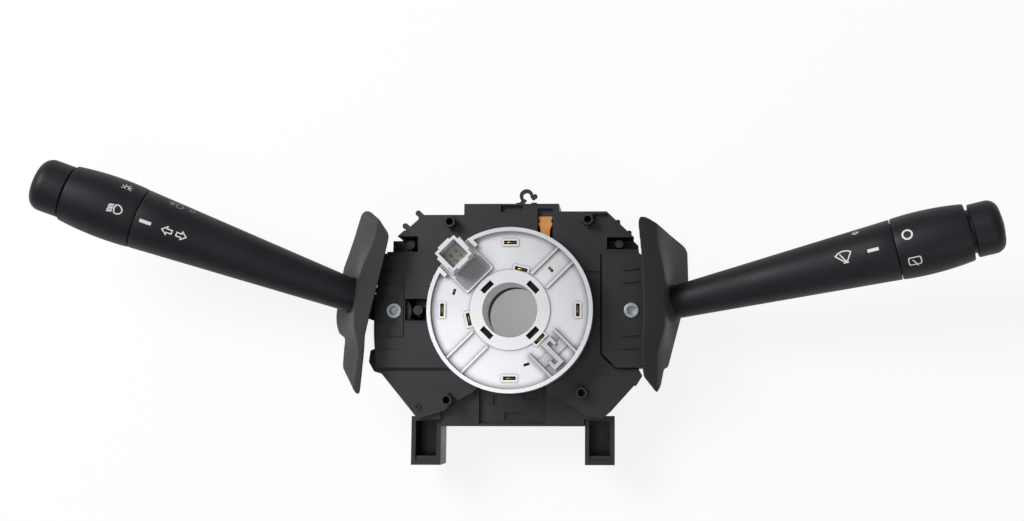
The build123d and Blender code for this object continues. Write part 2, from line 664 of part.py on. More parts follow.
with BuildPart() as reel_base:
    with BuildSketch(Plane.XY.offset(cover_front)):
        Circle(reel_r)
        Circle(centre_bore_r, mode=Mode.SUBTRACT)
    extrude(amount=reel_base_floor)
    with BuildSketch(Plane.XY.offset(cover_front)):
        Circle(reel_r)
        Circle(base_out_r - base_wall, mode=Mode.SUBTRACT)
    extrude(amount=skirt_bottom - slack - cover_front)
    with BuildSketch(Plane.XY.offset(cover_front)):
        Circle(base_out_r)
        Circle(base_out_r - base_wall, mode=Mode.SUBTRACT)
        Circle(centre_bore_r + base_wall)
        Circle(centre_bore_r, mode=Mode.SUBTRACT)
    extrude(amount=reel_base_top - cover_front)
reel_base.part.label = "reel_base"
export_step(reel_base.part, "parts/reel_base.step")

ribbon_bottom = cover_front + reel_base_floor
ribbon_inner = centre_bore_r + base_wall + 1.0
ribbon_outer = base_out_r - base_wall - 1.0
spiral_step = (ribbon_outer - ribbon_inner - ribbon_thickness) / ribbon_turns


def spiral_points(start_r):
    """Points of the wound ribbon's edge, from the hub outwards, eight to a turn."""
    steps = round(8 * ribbon_turns)
    return [Vector(start_r + spiral_step * n / 8, 0).rotate(Axis.Z, 45 * n) for n in range(steps + 1)]


with BuildPart() as ribbon_cable:
    with BuildSketch(Plane.XY.offset(ribbon_bottom)):
        with BuildLine():
            inner_edge = Spline(*spiral_points(ribbon_inner))
            outer_edge = Spline(*spiral_points(ribbon_inner + ribbon_thickness))
            Line(inner_edge @ 0, outer_edge @ 0)
            Line(inner_edge @ 1, outer_edge @ 1)
        make_face()
    extrude(amount=reel_base_top - 1.0 - ribbon_bottom)
ribbon_cable.part.label = "ribbon_cable"
export_step(ribbon_cable.part, "parts/ribbon_cable.step")

with BuildPart() as ribbon_tail:
    with BuildSketch(Plane.XY.offset(housing_front)):
        Polygon((tail_x - 1.9, 33.2), (tail_x + 1.9, 33.2), (tail_x + 2.2, 37.5),
                (tail_x + 3.1, 39.4), (tail_x + 3.1, 43.2), (tail_x - 3.1, 43.2),
                (tail_x - 3.1, 39.4), (tail_x - 2.2, 37.5), align=None)
        with Locations((tail_x - 3.4, 41.2), (tail_x + 3.4, 41.2)):
            Circle(0.8, mode=Mode.SUBTRACT)
    extrude(amount=0.8)
ribbon_tail.part.label = "ribbon_tail"
export_step(ribbon_tail.part, "parts/ribbon_tail.step")

with BuildPart() as reel_disc:
    with BuildSketch(Plane.XY.offset(reel_under)):
        Circle(reel_r)
    extrude(amount=reel_thickness)
    with BuildSketch(Plane.XY.offset(skirt_bottom)):
        Circle(reel_r)
        Circle(skirt_in_r, mode=Mode.SUBTRACT)
    extrude(amount=reel_under - skirt_bottom)
    with BuildSketch(Plane.XY.offset(hub_bottom)):
        Circle(shaft_bore_r + hub_wall)
    extrude(amount=reel_under - hub_bottom)
    # edge bead and raised ring round the bore
    with BuildSketch(Plane.XY.offset(reel_face)):
        Circle(reel_r)
        Circle(reel_r - bead_width, mode=Mode.SUBTRACT)
    extrude(amount=rim_height)
    with BuildSketch(Plane.XY.offset(reel_face)):
        Circle(bore_ring_r)
    extrude(amount=bore_ring_height)
    # ribs of the channels that run out from the hook slots
    with BuildSketch(Plane.XY.offset(reel_face)):
        for rib_angle in (45, 225):
            with Locations(polar_spot((bore_ring_r + reel_r) / 2, rib_angle)):
                with GridLocations(2 * channel_half, 1, 2, 1):
                    Rectangle(rib_width, reel_r - bore_ring_r - 1.0)
    extrude(amount=rib_height)
    # raised frames of the contact windows
    with BuildSketch(Plane.XY.offset(reel_face)):
        for spot in framed_windows:
            with Locations(polar_spot(*spot)):
                Rectangle(window_length + 1.6, window_width + 1.6)
    extrude(amount=window_frame)
    # seat of the airbag socket: the bead turns in beside it
    with BuildSketch(Plane.XY.offset(reel_face)):
        with Locations(polar_spot(socket_seat_r + 5.0, socket_angle)):
            Rectangle(2 * socket_seat_half + 2 * bead_width, 16.0)
    extrude(amount=rim_height)
    with BuildSketch(Plane.XY.offset(reel_face)):
        with Locations(polar_spot(socket_seat_r + 8.0, socket_angle)):
            Rectangle(2 * socket_seat_half, 24.0)
    extrude(amount=rim_height, mode=Mode.SUBTRACT)
    with BuildSketch(Plane.XY.offset(reel_face)):
        with Locations(polar_spot((bore_ring_r + reel_r) / 2, socket_angle)):
            Rectangle(2 * socket_seat_half - 1.0, reel_r - bore_ring_r - 1.5)
    extrude(amount=socket_slab)
    # nothing of the seat stands past the rim
    with BuildSketch(Plane.XY.offset(reel_face)):
        Circle(2 * reel_r)
        Circle(reel_r, mode=Mode.SUBTRACT)
    extrude(amount=rim_height, mode=Mode.SUBTRACT)
    # shaft bore, hook slots and contact windows
    with BuildSketch(Plane.XY.offset(hub_bottom)):
        Circle(shaft_bore_r)
    extrude(amount=2 * reel_face, mode=Mode.SUBTRACT)
    with BuildSketch(Plane.XY.offset(skirt_bottom)):
        for slot_angle in hook_angles:
            with Locations(polar_spot(hook_slot_r, slot_angle)):
                Rectangle(hook_slot_length, hook_slot_width)
        for spot in framed_windows:
            with Locations(polar_spot(*spot)):
                Rectangle(window_length, window_width)
        for spot in small_windows:
            with Locations(polar_spot(*spot)):
                Rectangle(small_window_length, small_window_width)
    extrude(amount=2 * reel_face, mode=Mode.SUBTRACT)
reel_disc.part.label = "reel_disc"
export_step(reel_disc.part, "parts/reel_disc.step")

with BuildPart() as cancel_sleeve:
    with BuildSketch(Plane.XY.offset(floor_z + 1.0)):
        Circle(sleeve_out_r)
        Circle(sleeve_in_r + running_fit, mode=Mode.SUBTRACT)
    extrude(amount=sleeve_top - floor_z - 1.0)
    # four hooks reach up through the disc's slots
    with BuildSketch(Plane.XY.offset(sleeve_top)):
        for slot_angle in hook_angles:
            with Locations(polar_spot(hook_slot_r, slot_angle)):
                Rectangle(hook_slot_length - 0.6, hook_slot_width - 0.4)
    extrude(amount=reel_face - 0.4 - sleeve_top)
    # self-cancelling lobes
    with BuildSketch(Plane.XY.offset(cam_level)):
        Circle(cam_r)
        Circle(sleeve_out_r - 0.2, mode=Mode.SUBTRACT)
        with PolarLocations(cam_r, cam_lobes):
            Rectangle(2 * cam_height + 2.0, cam_r, mode=Mode.SUBTRACT)
    extrude(amount=cam_width)
cancel_sleeve.part.label = "cancel_sleeve"
export_step(cancel_sleeve.part, "parts/cancel_sleeve.step")

with BuildPart() as reel_contacts:
    for spot in framed_windows:
        with BuildSketch(Plane.XY.offset(reel_under + 0.6)):
            with Locations(polar_spot(*spot)):
                Rectangle(window_length - 0.3, window_width - 0.3)
        extrude(amount=0.6)
    for spot in small_windows[:2]:
        with BuildSketch(Plane.XY.offset(reel_under + 0.6)):
            with Locations(polar_spot(*spot)):
                Rectangle(small_window_length - 0.2, small_window_width - 0.2)
        extrude(amount=0.6)
reel_contacts.part.label = "reel_contacts"
export_step(reel_contacts.part, "parts/reel_contacts.step")

socket_bottom = reel_face + socket_slab
with BuildPart() as airbag_socket:
    with BuildSketch(Plane.XY.offset(socket_bottom)):
        with Locations(polar_spot(socket_seat_r, socket_angle)):
            Rectangle(socket_side, socket_side)
    extrude(amount=socket_height)
    with BuildSketch(Plane.XY.offset(socket_bottom)):
        with Locations(polar_spot(socket_seat_r, socket_angle)):
            Rectangle(socket_side + 2.4, socket_side - 1.0)
    extrude(amount=1.4)
    with BuildSketch(Plane.XY.offset(socket_bottom + socket_height - 1.6)):
        with Locations(polar_spot(socket_seat_r, socket_angle)):
            Rectangle(socket_side + 1.6, socket_side - 5.0)
            Rectangle(socket_side - 5.0, socket_side + 1.6)
    extrude(amount=1.6)
    with BuildSketch(Plane.XY.offset(socket_bottom + 1.4)):
        with Locations(polar_spot(socket_seat_r, socket_angle)):
            Rectangle(socket_side - 2 * socket_wall, socket_side - 2 * socket_wall)
    extrude(amount=socket_height, mode=Mode.SUBTRACT)
airbag_socket.part.label = "airbag_socket"
export_step(airbag_socket.part, "parts/airbag_socket.step")

with BuildPart() as airbag_pins:
    with BuildSketch(Plane.XY.offset(socket_bottom + 1.4)):
        with Locations(polar_spot(socket_seat_r, socket_angle)):
            with GridLocations(3.0, 3.0, 2, 2):
                Rectangle(contact_width, contact_width)
    extrude(amount=socket_height - 4.0)
airbag_pins.part.label = "airbag_pins"
export_step(airbag_pins.part, "parts/airbag_pins.step")

with BuildPart() as wire_latch:
    with BuildSketch(Plane.XY.offset(reel_face)):
        with Locations(polar_spot(latch_radius, latch_place)):
            Rectangle(2 * latch_side, 4.0)
            Rectangle(3.0, 13.0)
    extrude(amount=0.9)
    with BuildSketch(Plane.XY.offset(reel_face)):
        with Locations(polar_spot(latch_radius, latch_place)):
            # side walls, and between them an S-shaped snap
            with GridLocations(2 * latch_side, 1, 2, 1):
                Rectangle(1.0, 14.0)
            Rectangle(2.0, 12.0)
            with Locations((1.9, 5.2), (-1.9, -5.2)):
                Rectangle(5.0, 1.6)
            with Locations((3.6, 3.6), (-3.6, -3.6)):
                Rectangle(1.4, 3.6)
    extrude(amount=2.4)
wire_latch.part.label = "wire_latch"
export_step(wire_latch.part, "parts/wire_latch.step")

# ---------------------------------------------------------------- stalks


def seam_radius(along):
    """Outer radius of a stalk's straight taper."""
    return root_r + (seam_r - root_r) * (along - stalk_root) / (stalk_seam - stalk_root)


for hand, side, azimuth in hands:
    flat = flat_frame(side, azimuth, 0)
    axis_plane = stalk_frame(side, azimuth)
    stalk_axis = Axis(axis_plane.origin, axis_plane.x_dir)
    peg_level_top = housing_front + 2.9 if hand == "left" else carrier_top
    peg_turn = side * peg_angle
    detent_frame = outward_frame(side, azimuth + side * detent_angle, detent_level)

    with BuildPart() as carrier:
        with BuildSketch(flat.offset(fork_bottom)):
            Circle(fork_half)
            box_sketch(0, fork_end, -fork_half, fork_half)
        extrude(amount=carrier_top - fork_bottom)
        with BuildSketch(flat.offset(fork_bottom)):
            box_sketch(cross_pin_out - eye_r - 2 * slack, 2 * fork_end, -arm_half - slack, arm_half + slack)
        extrude(amount=carrier_top - fork_bottom, mode=Mode.SUBTRACT)
        with BuildSketch(flat.offset(carrier_bottom)):
            Circle(fork_half - 0.6)
        extrude(amount=fork_bottom - carrier_bottom)
        # arm with the drive peg
        with BuildSketch(flat.offset(carrier_bottom)):
            with Locations(Location((0, 0), peg_turn)):
                Rectangle(peg_reach + peg_r, 2 * peg_r, align=(Align.MIN, Align.CENTER))
        extrude(amount=5.0)
        with BuildSketch(flat.offset(carrier_bottom)):
            with PolarLocations(peg_reach, 1, start_angle=peg_turn):
                Circle(peg_r)
        extrude(amount=peg_level_top - carrier_bottom)
        with BuildSketch(flat.offset(slide_bottom)):
            with PolarLocations(peg_reach, 1, start_angle=peg_turn):
                Circle(peg_foot_r)
        extrude(amount=carrier_bottom - slide_bottom)
        # barrel of the detent plunger
        with BuildSketch(detent_frame.offset(fork_half - 2.0)):
            Circle(barrel_r)
        extrude(amount=barrel_end - fork_half + 2.0)
        # bores: pivot pin and cross pin
        with BuildSketch(flat.offset(carrier_bottom)):
            Circle(pin_r + running_fit)
        extrude(amount=housing_front, mode=Mode.SUBTRACT)
        with BuildSketch(axis_plane.offset(-fork_half)):
            with Locations((cross_pin_along, 0)):
                Circle(cross_pin_r + running_fit)
        extrude(amount=2 * fork_half, mode=Mode.SUBTRACT)
        with BuildSketch(detent_frame.offset(spring_seat)):
            Circle(plunger_r + running_fit)
        extrude(amount=barrel_end - spring_seat, mode=Mode.SUBTRACT)
    carrier.part.label = f"{hand}_carrier"
    export_step(carrier.part, f"parts/{hand}_carrier.step")

    with BuildPart() as detent_plunger:
        with BuildSketch(detent_frame.offset(plunger_back)):
            Circle(plunger_r)
        extrude(amount=track_r - slack - plunger_back)
        fillet(detent_plunger.edges().group_by(Axis(detent_frame.origin, detent_frame.z_dir))[-1], 1.0)
    detent_plunger.part.label = f"{hand}_detent_plunger"
    export_step(detent_plunger.part, f"parts/{hand}_detent_plunger.step")

    with BuildPart() as detent_spring:
        with BuildSketch(detent_frame.offset(spring_seat)):
            Circle(plunger_r - 0.1)
            Circle(plunger_r - 0.5, mode=Mode.SUBTRACT)
        extrude(amount=plunger_back - spring_seat)
    detent_spring.part.label = f"{hand}_detent_spring"
    export_step(detent_spring.part, f"parts/{hand}_detent_spring.step")

    with BuildPart() as cross_pin:
        with BuildSketch(axis_plane.offset(-fork_half)):
            with Locations((cross_pin_along, 0)):
                Circle(cross_pin_r)
        extrude(amount=2 * fork_half)
    cross_pin.part.label = f"{hand}_cross_pin"
    export_step(cross_pin.part, f"parts/{hand}_cross_pin.step")

    with BuildPart() as lever_arm:
        with BuildSketch(axis_plane.offset(-arm_half)):
            with Locations((cross_pin_along, 0)):
                Circle(eye_r)
            box_sketch(cross_pin_along, arm_end, -arm_half, arm_half)
            with Locations((cross_pin_along, 0)):
                Circle(cross_pin_r + running_fit, mode=Mode.SUBTRACT)
        extrude(amount=2 * arm_half)
    lever_arm.part.label = f"{hand}_lever_arm"
    export_step(lever_arm.part, f"parts/{hand}_lever_arm.step")

    with BuildPart() as stalk:
        with BuildSketch(axis_plane):
            Polygon((stalk_root, 0), (stalk_root, root_r), (stalk_seam, seam_r), (stalk_seam, register_r),
                    (register_end, register_r), (register_end, spigot_r), (spigot_end, spigot_r),
                    (spigot_end, 0), align=None)
        revolve(axis=stalk_axis)
        with BuildSketch(axis_plane):
            Polygon((arm_end + 2.0, 0), (arm_end + 2.0, seam_radius(arm_end) - shell_wall),
                    (stalk_seam - 4.0, seam_radius(stalk_seam - 4.0) - shell_wall),
                    (stalk_seam - 4.0, 0), align=None)
            box_sketch(stalk_seam - 5.0, stalk_seam, 0, spring_hole_r)
            box_sketch(stalk_seam, spigot_end, 0, spigot_bore_r)
        revolve(axis=stalk_axis, mode=Mode.SUBTRACT)
        with BuildSketch(axis_plane.offset(-arm_half)):
            box_sketch(stalk_root, arm_end, -arm_half, arm_half)
        extrude(amount=2 * arm_half, mode=Mode.SUBTRACT)
    stalk.part.label = f"{hand}_stalk"
    export_step(stalk.part, f"parts/{hand}_stalk.step")

    with BuildPart() as knob:
        with BuildSketch(axis_plane):
            with BuildLine():
                ThreePointArc((knob_start, knob_seam_r), (knob_belly, knob_belly_r), (knob_end, knob_end_r))
                Polyline((knob_end, knob_end_r), (knob_end, mouth_r), (knob_end - 2.0, mouth_r),
                         (knob_end - 2.0, mouth_r + 0.6), (knob_end - 6.5, mouth_r + 0.6),
                         (knob_end - 6.5, spigot_r + running_fit), (knob_end - 10.5, spigot_r + running_fit),
                         (knob_end - 10.5, mouth_r + 0.6), (knob_start + 5.5, knob_seam_r - shell_wall),
                         (knob_start + 5.5, spigot_r + running_fit),
                         (register_end + slack, spigot_r + running_fit),
                         (register_end + slack, register_r + slack), (knob_start, register_r + slack),
                         (knob_start, knob_seam_r))
            make_face()
        revolve(axis=stalk_axis)
    knob_name = "left_light_knob" if hand == "left" else "right_rear_wiper_knob"
    knob.part.label = knob_name
    export_step(knob.part, f"parts/{knob_name}.step")

    # the left end is a cap pressed into the knob, the right end a push button on a sprung stem
    tip_start = knob_end + (seam_gap if hand == "left" else button_gap)
    with BuildPart() as tip:
        with BuildSketch(axis_plane):
            with BuildLine():
                Polyline((neck_end, 0), (neck_end, mouth_r - neck_play), (tip_start, mouth_r - neck_play),
                         (tip_start, tip_r), (stalk_tip - tip_round, tip_r))
                RadiusArc((stalk_tip - tip_round, tip_r), (stalk_tip - 0.8, tip_r - tip_round), tip_round)
                Polyline((stalk_tip - 0.8, tip_r - tip_round), (stalk_tip, 0), (neck_end, 0))
            make_face()
        revolve(axis=stalk_axis)
        if hand == "right":
            with BuildSketch(axis_plane):
                box_sketch(stem_end, neck_end, 0, spigot_bore_r - slack)
            revolve(axis=stalk_axis)
    tip_name = "left_end_cap" if hand == "left" else "right_end_button"
    tip.part.label = tip_name
    export_step(tip.part, f"parts/{tip_name}.step")

    # shroud: a bent shield, fuller beside the stalk, trimmed to its outline seen by the driver
    trim_azimuth = azimuth - side * neutral_angle
    if hand == "left":
        slim, full, outline = left_shroud_slim, left_shroud_full, left_shroud_outline
    else:
        slim, full, outline = right_shroud_slim, right_shroud_full, right_shroud_outline
    with BuildPart() as shroud:
        for up, line in ((-shroud_half, slim), (slim_below, slim), (full_from, full),
                         (full_to, full), (slim_above, slim), (shroud_half, slim)):
            back = [(out - 0.8 * shroud_wall, level - 0.6 * shroud_wall) for out, level in reversed(line)]
            with BuildSketch(upright_frame(side, trim_azimuth).offset(-side * up)):
                Polygon(*line, *back, align=None)
        loft(ruled=True)
        with BuildSketch(flat_frame(side, trim_azimuth, -10.0)):
            Polygon(*((out, side * up) for out, up in outline), align=None)
        extrude(amount=100.0, mode=Mode.INTERSECT)
        # collar that holds the stalk's root
        with BuildSketch(axis_plane):
            box_sketch(stalk_root, shroud_collar_end, 0, seam_radius(shroud_collar_end) + shroud_collar_wall)
        revolve(axis=stalk_axis)
        with BuildSketch(axis_plane):
            Polygon((0, 0), (0, root_r + running_fit), (stalk_root, root_r + running_fit),
                    (stalk_seam, seam_r + running_fit), (stalk_seam, 0), align=None)
        revolve(axis=stalk_axis, mode=Mode.SUBTRACT)
    shroud.part.label = f"{hand}_shroud"
    export_step(shroud.part, f"parts/{hand}_shroud.step")

with BuildPart() as button_spring:
    right_axis = stalk_frame(1, neutral_angle)
    with BuildSketch(right_axis):
        box_sketch(stalk_seam, stem_end, spring_hole_r, spring_hole_r + 1.4)
    revolve(axis=Axis(right_axis.origin, right_axis.x_dir))
button_spring.part.label = "button_spring"
export_step(button_spring.part, "parts/button_spring.step")

# ---------------------------------------------------------------- contact slides

for hand, side, azimuth in hands:
    peg_direction = radians(azimuth + side * peg_angle)
    peg_y = pivot_up + peg_reach * sin(peg_direction)
    with BuildPart() as contact_slide:
        with BuildSketch(Plane.XY.offset(slide_bottom)):
            box_sketch(side * slide_inner, side * slide_outer, peg_y - slide_half, peg_y + slide_half)
            with Locations((side * (pivot_out - slot_reach), peg_y)):
                SlotCenterToCenter(slot_play, 2 * (peg_foot_r + slack), mode=Mode.SUBTRACT)
        extrude(amount=slide_top - slide_bottom)
    contact_slide.part.label = f"{hand}_contact_slide"
    export_step(contact_slide.part, f"parts/{hand}_contact_slide.step")

    with BuildPart() as slide_contacts:
        with BuildSketch(Plane.XY.offset(board_top + 0.1)):
            for row in (-1, 1):
                with Locations((side * (slide_inner + slide_outer) / 2, peg_y + row * (slide_half - 1.6))):
                    Rectangle(slide_outer - slide_inner - 1.0, 1.2)
        extrude(amount=slide_bottom - board_top - 0.1)
    slide_contacts.part.label = f"{hand}_slide_contacts"
    export_step(slide_contacts.part, f"parts/{hand}_slide_contacts.step")
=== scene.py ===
import bpy
import bmesh
import json
from math import atan2, cos, hypot, pi, radians, sin
from mathutils import Matrix, Vector


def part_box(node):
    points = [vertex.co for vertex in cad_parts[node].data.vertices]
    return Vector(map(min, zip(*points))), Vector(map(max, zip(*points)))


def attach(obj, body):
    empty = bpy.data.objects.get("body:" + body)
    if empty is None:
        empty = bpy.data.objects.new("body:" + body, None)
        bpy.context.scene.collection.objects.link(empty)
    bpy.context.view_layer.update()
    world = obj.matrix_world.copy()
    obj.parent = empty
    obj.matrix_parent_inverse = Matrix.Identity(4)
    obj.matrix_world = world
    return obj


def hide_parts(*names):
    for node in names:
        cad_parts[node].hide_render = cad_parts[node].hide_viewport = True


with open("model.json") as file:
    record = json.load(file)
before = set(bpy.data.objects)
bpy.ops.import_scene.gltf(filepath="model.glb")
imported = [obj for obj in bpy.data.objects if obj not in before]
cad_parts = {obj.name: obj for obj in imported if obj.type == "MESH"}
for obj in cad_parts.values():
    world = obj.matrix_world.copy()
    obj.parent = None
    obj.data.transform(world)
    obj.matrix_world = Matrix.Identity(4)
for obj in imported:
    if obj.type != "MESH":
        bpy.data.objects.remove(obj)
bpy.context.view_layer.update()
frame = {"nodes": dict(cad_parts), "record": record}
record = frame["record"]
mm = 0.001

bodyOf = {node: body for body, nodes in record["behaviour"]["bodies"].items() for node in nodes}
slotOf = {part["node"]: part["material_slot"] for part in record["subparts"]}
print("frame loaded:", len(frame["nodes"]), "nodes")


def linkObject(name, data):
    made = bpy.data.objects.new(name, data)
    bpy.context.collection.objects.link(made)
    return made


# camera above the reel, slightly to the right, looking down the shaft
def placeCamera():
    view = {"place": (0.048573, -0.039185, 0.590739), "right": (0.999846, 0.001267, -0.017487),
            "up": (0.000694, 0.993744, 0.111680), "back": (0.017519, -0.111675, 0.993590),
            "lens": 43.945, "sensor": 36.0, "shift": -0.0859}
    data = bpy.data.cameras.new("bench camera")
    data.lens, data.sensor_width, data.shift_x = view["lens"], view["sensor"], view["shift"]
    data.clip_start, data.clip_end = 0.01, 20.0
    camera = linkObject("bench camera", data)
    columns = [Vector(view[k]) for k in ("right", "up", "back", "place")]
    camera.matrix_world = Matrix([[c[i] for c in columns] for i in range(3)] + [[0, 0, 0, 1]])
    bpy.context.scene.camera = camera


placeCamera()
bpy.context.scene.view_settings.view_transform = "Standard"


def linearColour(hexText):
    # sRGB hex to the linear values that the shader sockets want
    parts = [int(hexText[i:i + 2], 16) / 255 for i in (1, 3, 5)]
    return tuple(p / 12.92 if p <= 0.04045 else ((p + 0.055) / 1.055) ** 2.4 for p in parts) + (1.0,)


def addNode(tree, kind, settings=None, links=None):
    # settings: property or socket values; links: socket -> the output that feeds it
    node = tree.nodes.new(kind)
    for key, value in (settings or {}).items():
        if isinstance(key, str) and hasattr(node, key) and key not in node.inputs:
            setattr(node, key, value)
        else:
            node.inputs[key].default_value = value
    for key, output in (links or {}).items():
        tree.links.new(output, node.inputs[key])
    return node


def mapped(tree, value, fromMin, fromMax, toMin, toMax):
    return addNode(tree, "ShaderNodeMapRange", {"From Min": fromMin, "From Max": fromMax, "To Min": toMin,
                                                "To Max": toMax}, {"Value": value}).outputs[0]


def reckon(tree, operation, *values):
    # each value is a plain number or the output of another node
    fixed = {i: value for i, value in enumerate(values) if isinstance(value, float)}
    linked = {i: value for i, value in enumerate(values) if i not in fixed}
    return addNode(tree, "ShaderNodeMath", {"operation": operation, **fixed}, linked).outputs[0]


# materials, each named for what it is and how its surface was made; a few are named for the shade painted into them
def blankMaterial(name):
    # gives the material, its empty tree and the object's own coordinates
    material = bpy.data.materials.new(name)
    material.use_nodes = True
    tree = material.node_tree
    tree.nodes.clear()
    return material, tree, addNode(tree, "ShaderNodeTexCoord").outputs["Object"]


def mouldedPlastic(name, look):
    # injection moulded: fine eroded grain from the tool, slow gloss changes from packing pressure
    material, tree, place = blankMaterial(name)
    grain = addNode(tree, "ShaderNodeTexNoise", {"Scale": 1000 / look["grainMm"], "Detail": 3.0, "Roughness": 0.6},
                    {"Vector": place})
    pits = addNode(tree, "ShaderNodeTexVoronoi", {"Scale": 1000 / (look["grainMm"] * 1.7)}, {"Vector": place})
    patches = addNode(tree, "ShaderNodeTexNoise", {"Scale": 1000 / look["patchMm"], "Detail": 2.0}, {"Vector": place})
    tone = addNode(tree, "ShaderNodeMix", {"data_type": "RGBA", 6: linearColour(look["shade"]),
                                           7: linearColour(look["light"])}, {0: patches.outputs["Fac"]})
    speck = mapped(tree, grain.outputs["Fac"], 0.35, 0.7, 0.0, 1.0)
    grained = addNode(tree, "ShaderNodeMix", {"data_type": "RGBA", "blend_type": "MULTIPLY",
                                              7: (look["speck"],) * 3 + (1.0,)},
                      {0: speck, 6: tone.outputs[2]})
    # painted shade: an occlusion mask darkens inner corners; outer edges are made paler, partly rubbed wear and partly
    # a painted highlight
    cornerShadeAo = addNode(tree, "ShaderNodeAmbientOcclusion", {"samples": 12, "Distance": look["shadeReachMm"] * mm})
    cornerShade = mapped(tree, cornerShadeAo.outputs["AO"], 0.45, 0.95, look["corner"], 1.0)
    shaded = addNode(tree, "ShaderNodeVectorMath", {"operation": "SCALE"},
                     {0: grained.outputs[2], "Scale": cornerShade})
    # outer edges paler: rubbed wear together with a painted highlight along them
    ridge = addNode(tree, "ShaderNodeAmbientOcclusion", {"samples": 8, "only_local": True, "inside": True,
                                                         "Distance": 0.35 * mm})
    rubAndGlintMask = mapped(tree, ridge.outputs["AO"], 0.4, 0.8, look["rubAndGlint"], 0.0)
    worn = addNode(tree, "ShaderNodeMix", {"data_type": "RGBA", 7: linearColour(look["edge"])},
                   {0: rubAndGlintMask, 6: shaded.outputs[0]})
    gloss = mapped(tree, patches.outputs["Fac"], 0.3, 0.7, *look["gloss"])
    relief = reckon(tree, "ADD", grain.outputs["Fac"], pits.outputs["Distance"])
    bump = addNode(tree, "ShaderNodeBump", {"Strength": look["bump"], "Distance": look["grainMm"] * 0.15 * mm},
                   {"Height": relief})
    shader = addNode(tree, "ShaderNodeBsdfPrincipled", {"IOR": look["ior"], "Metallic": look.get("flake", 0.0),
                                                        "Specular IOR Level": look.get("shine", 0.5)},
                     {"Base Color": worn.outputs[2], "Roughness": gloss, "Normal": bump.outputs[0]})
    addNode(tree, "ShaderNodeOutputMaterial", {}, {"Surface": shader.outputs[0]})
    return material


def metalSheet(name, look):
    # stamped or drawn metal: faint lines along the strip, small stains
    material, tree, place = blankMaterial(name)
    stretched = addNode(tree, "ShaderNodeMapping", {"Scale": look["stretch"]}, {"Vector": place})
    lines = addNode(tree, "ShaderNodeTexNoise", {"Scale": 1000 / look["lineMm"], "Detail": 2.0},
                    {"Vector": stretched.outputs[0]})
    stains = addNode(tree, "ShaderNodeTexNoise", {"Scale": 1000 / look["stainMm"], "Detail": 4.0}, {"Vector": place})
    tone = addNode(tree, "ShaderNodeMix", {"data_type": "RGBA", 6: linearColour(look["shade"]),
                                           7: linearColour(look["light"])}, {0: stains.outputs["Fac"]})
    gloss = mapped(tree, stains.outputs["Fac"], 0.3, 0.7, *look["gloss"])
    bump = addNode(tree, "ShaderNodeBump", {"Strength": 0.2, "Distance": 0.02 * mm}, {"Height": lines.outputs["Fac"]})
    shader = addNode(tree, "ShaderNodeBsdfPrincipled", {"Metallic": look["metallic"]},
                     {"Base Color": tone.outputs[2], "Roughness": gloss, "Normal": bump.outputs[0]})
    addNode(tree, "ShaderNodeOutputMaterial", {}, {"Surface": shader.outputs[0]})
    return material


def solderMaskBoard(name):
    # green lacquer over copper tracks: tracks stand a little proud and show paler through the lacquer
    material, tree, place = blankMaterial(name)
    tracks = addNode(tree, "ShaderNodeTexBrick", {"Scale": 180.0, "Mortar Size": 0.12, "Mortar Smooth": 0.0,
                                                  "Color1": linearColour("#1d4a2c"), "Color2": linearColour("#245833"),
                                                  "Mortar": linearColour("#3f7d46")}, {"Vector": place})
    bump = addNode(tree, "ShaderNodeBump", {"Strength": 0.3, "Distance": 0.05 * mm}, {"Height": tracks.outputs["Fac"]})
    shader = addNode(tree, "ShaderNodeBsdfPrincipled", {"Roughness": 0.3, "IOR": 1.55},
                     {"Base Color": tracks.outputs["Color"], "Normal": bump.outputs[0]})
    addNode(tree, "ShaderNodeOutputMaterial", {}, {"Surface": shader.outputs[0]})
    return material


def padPrint(name, hexText):
    # pad-printed ink: thin, slightly uneven cover over the grain
    material, tree, place = blankMaterial(name)
    cover = addNode(tree, "ShaderNodeTexNoise", {"Scale": 3000.0, "Detail": 2.0}, {"Vector": place})
    worn = tuple(c * 0.8 for c in linearColour(hexText)[:3]) + (1.0,)
    tone = addNode(tree, "ShaderNodeMix", {"data_type": "RGBA", 6: worn, 7: linearColour(hexText)},
                   {0: cover.outputs["Fac"]})
    shader = addNode(tree, "ShaderNodeBsdfPrincipled", {"Roughness": 0.45}, {"Base Color": tone.outputs[2]})
    addNode(tree, "ShaderNodeOutputMaterial", {}, {"Surface": shader.outputs[0]})
    return material
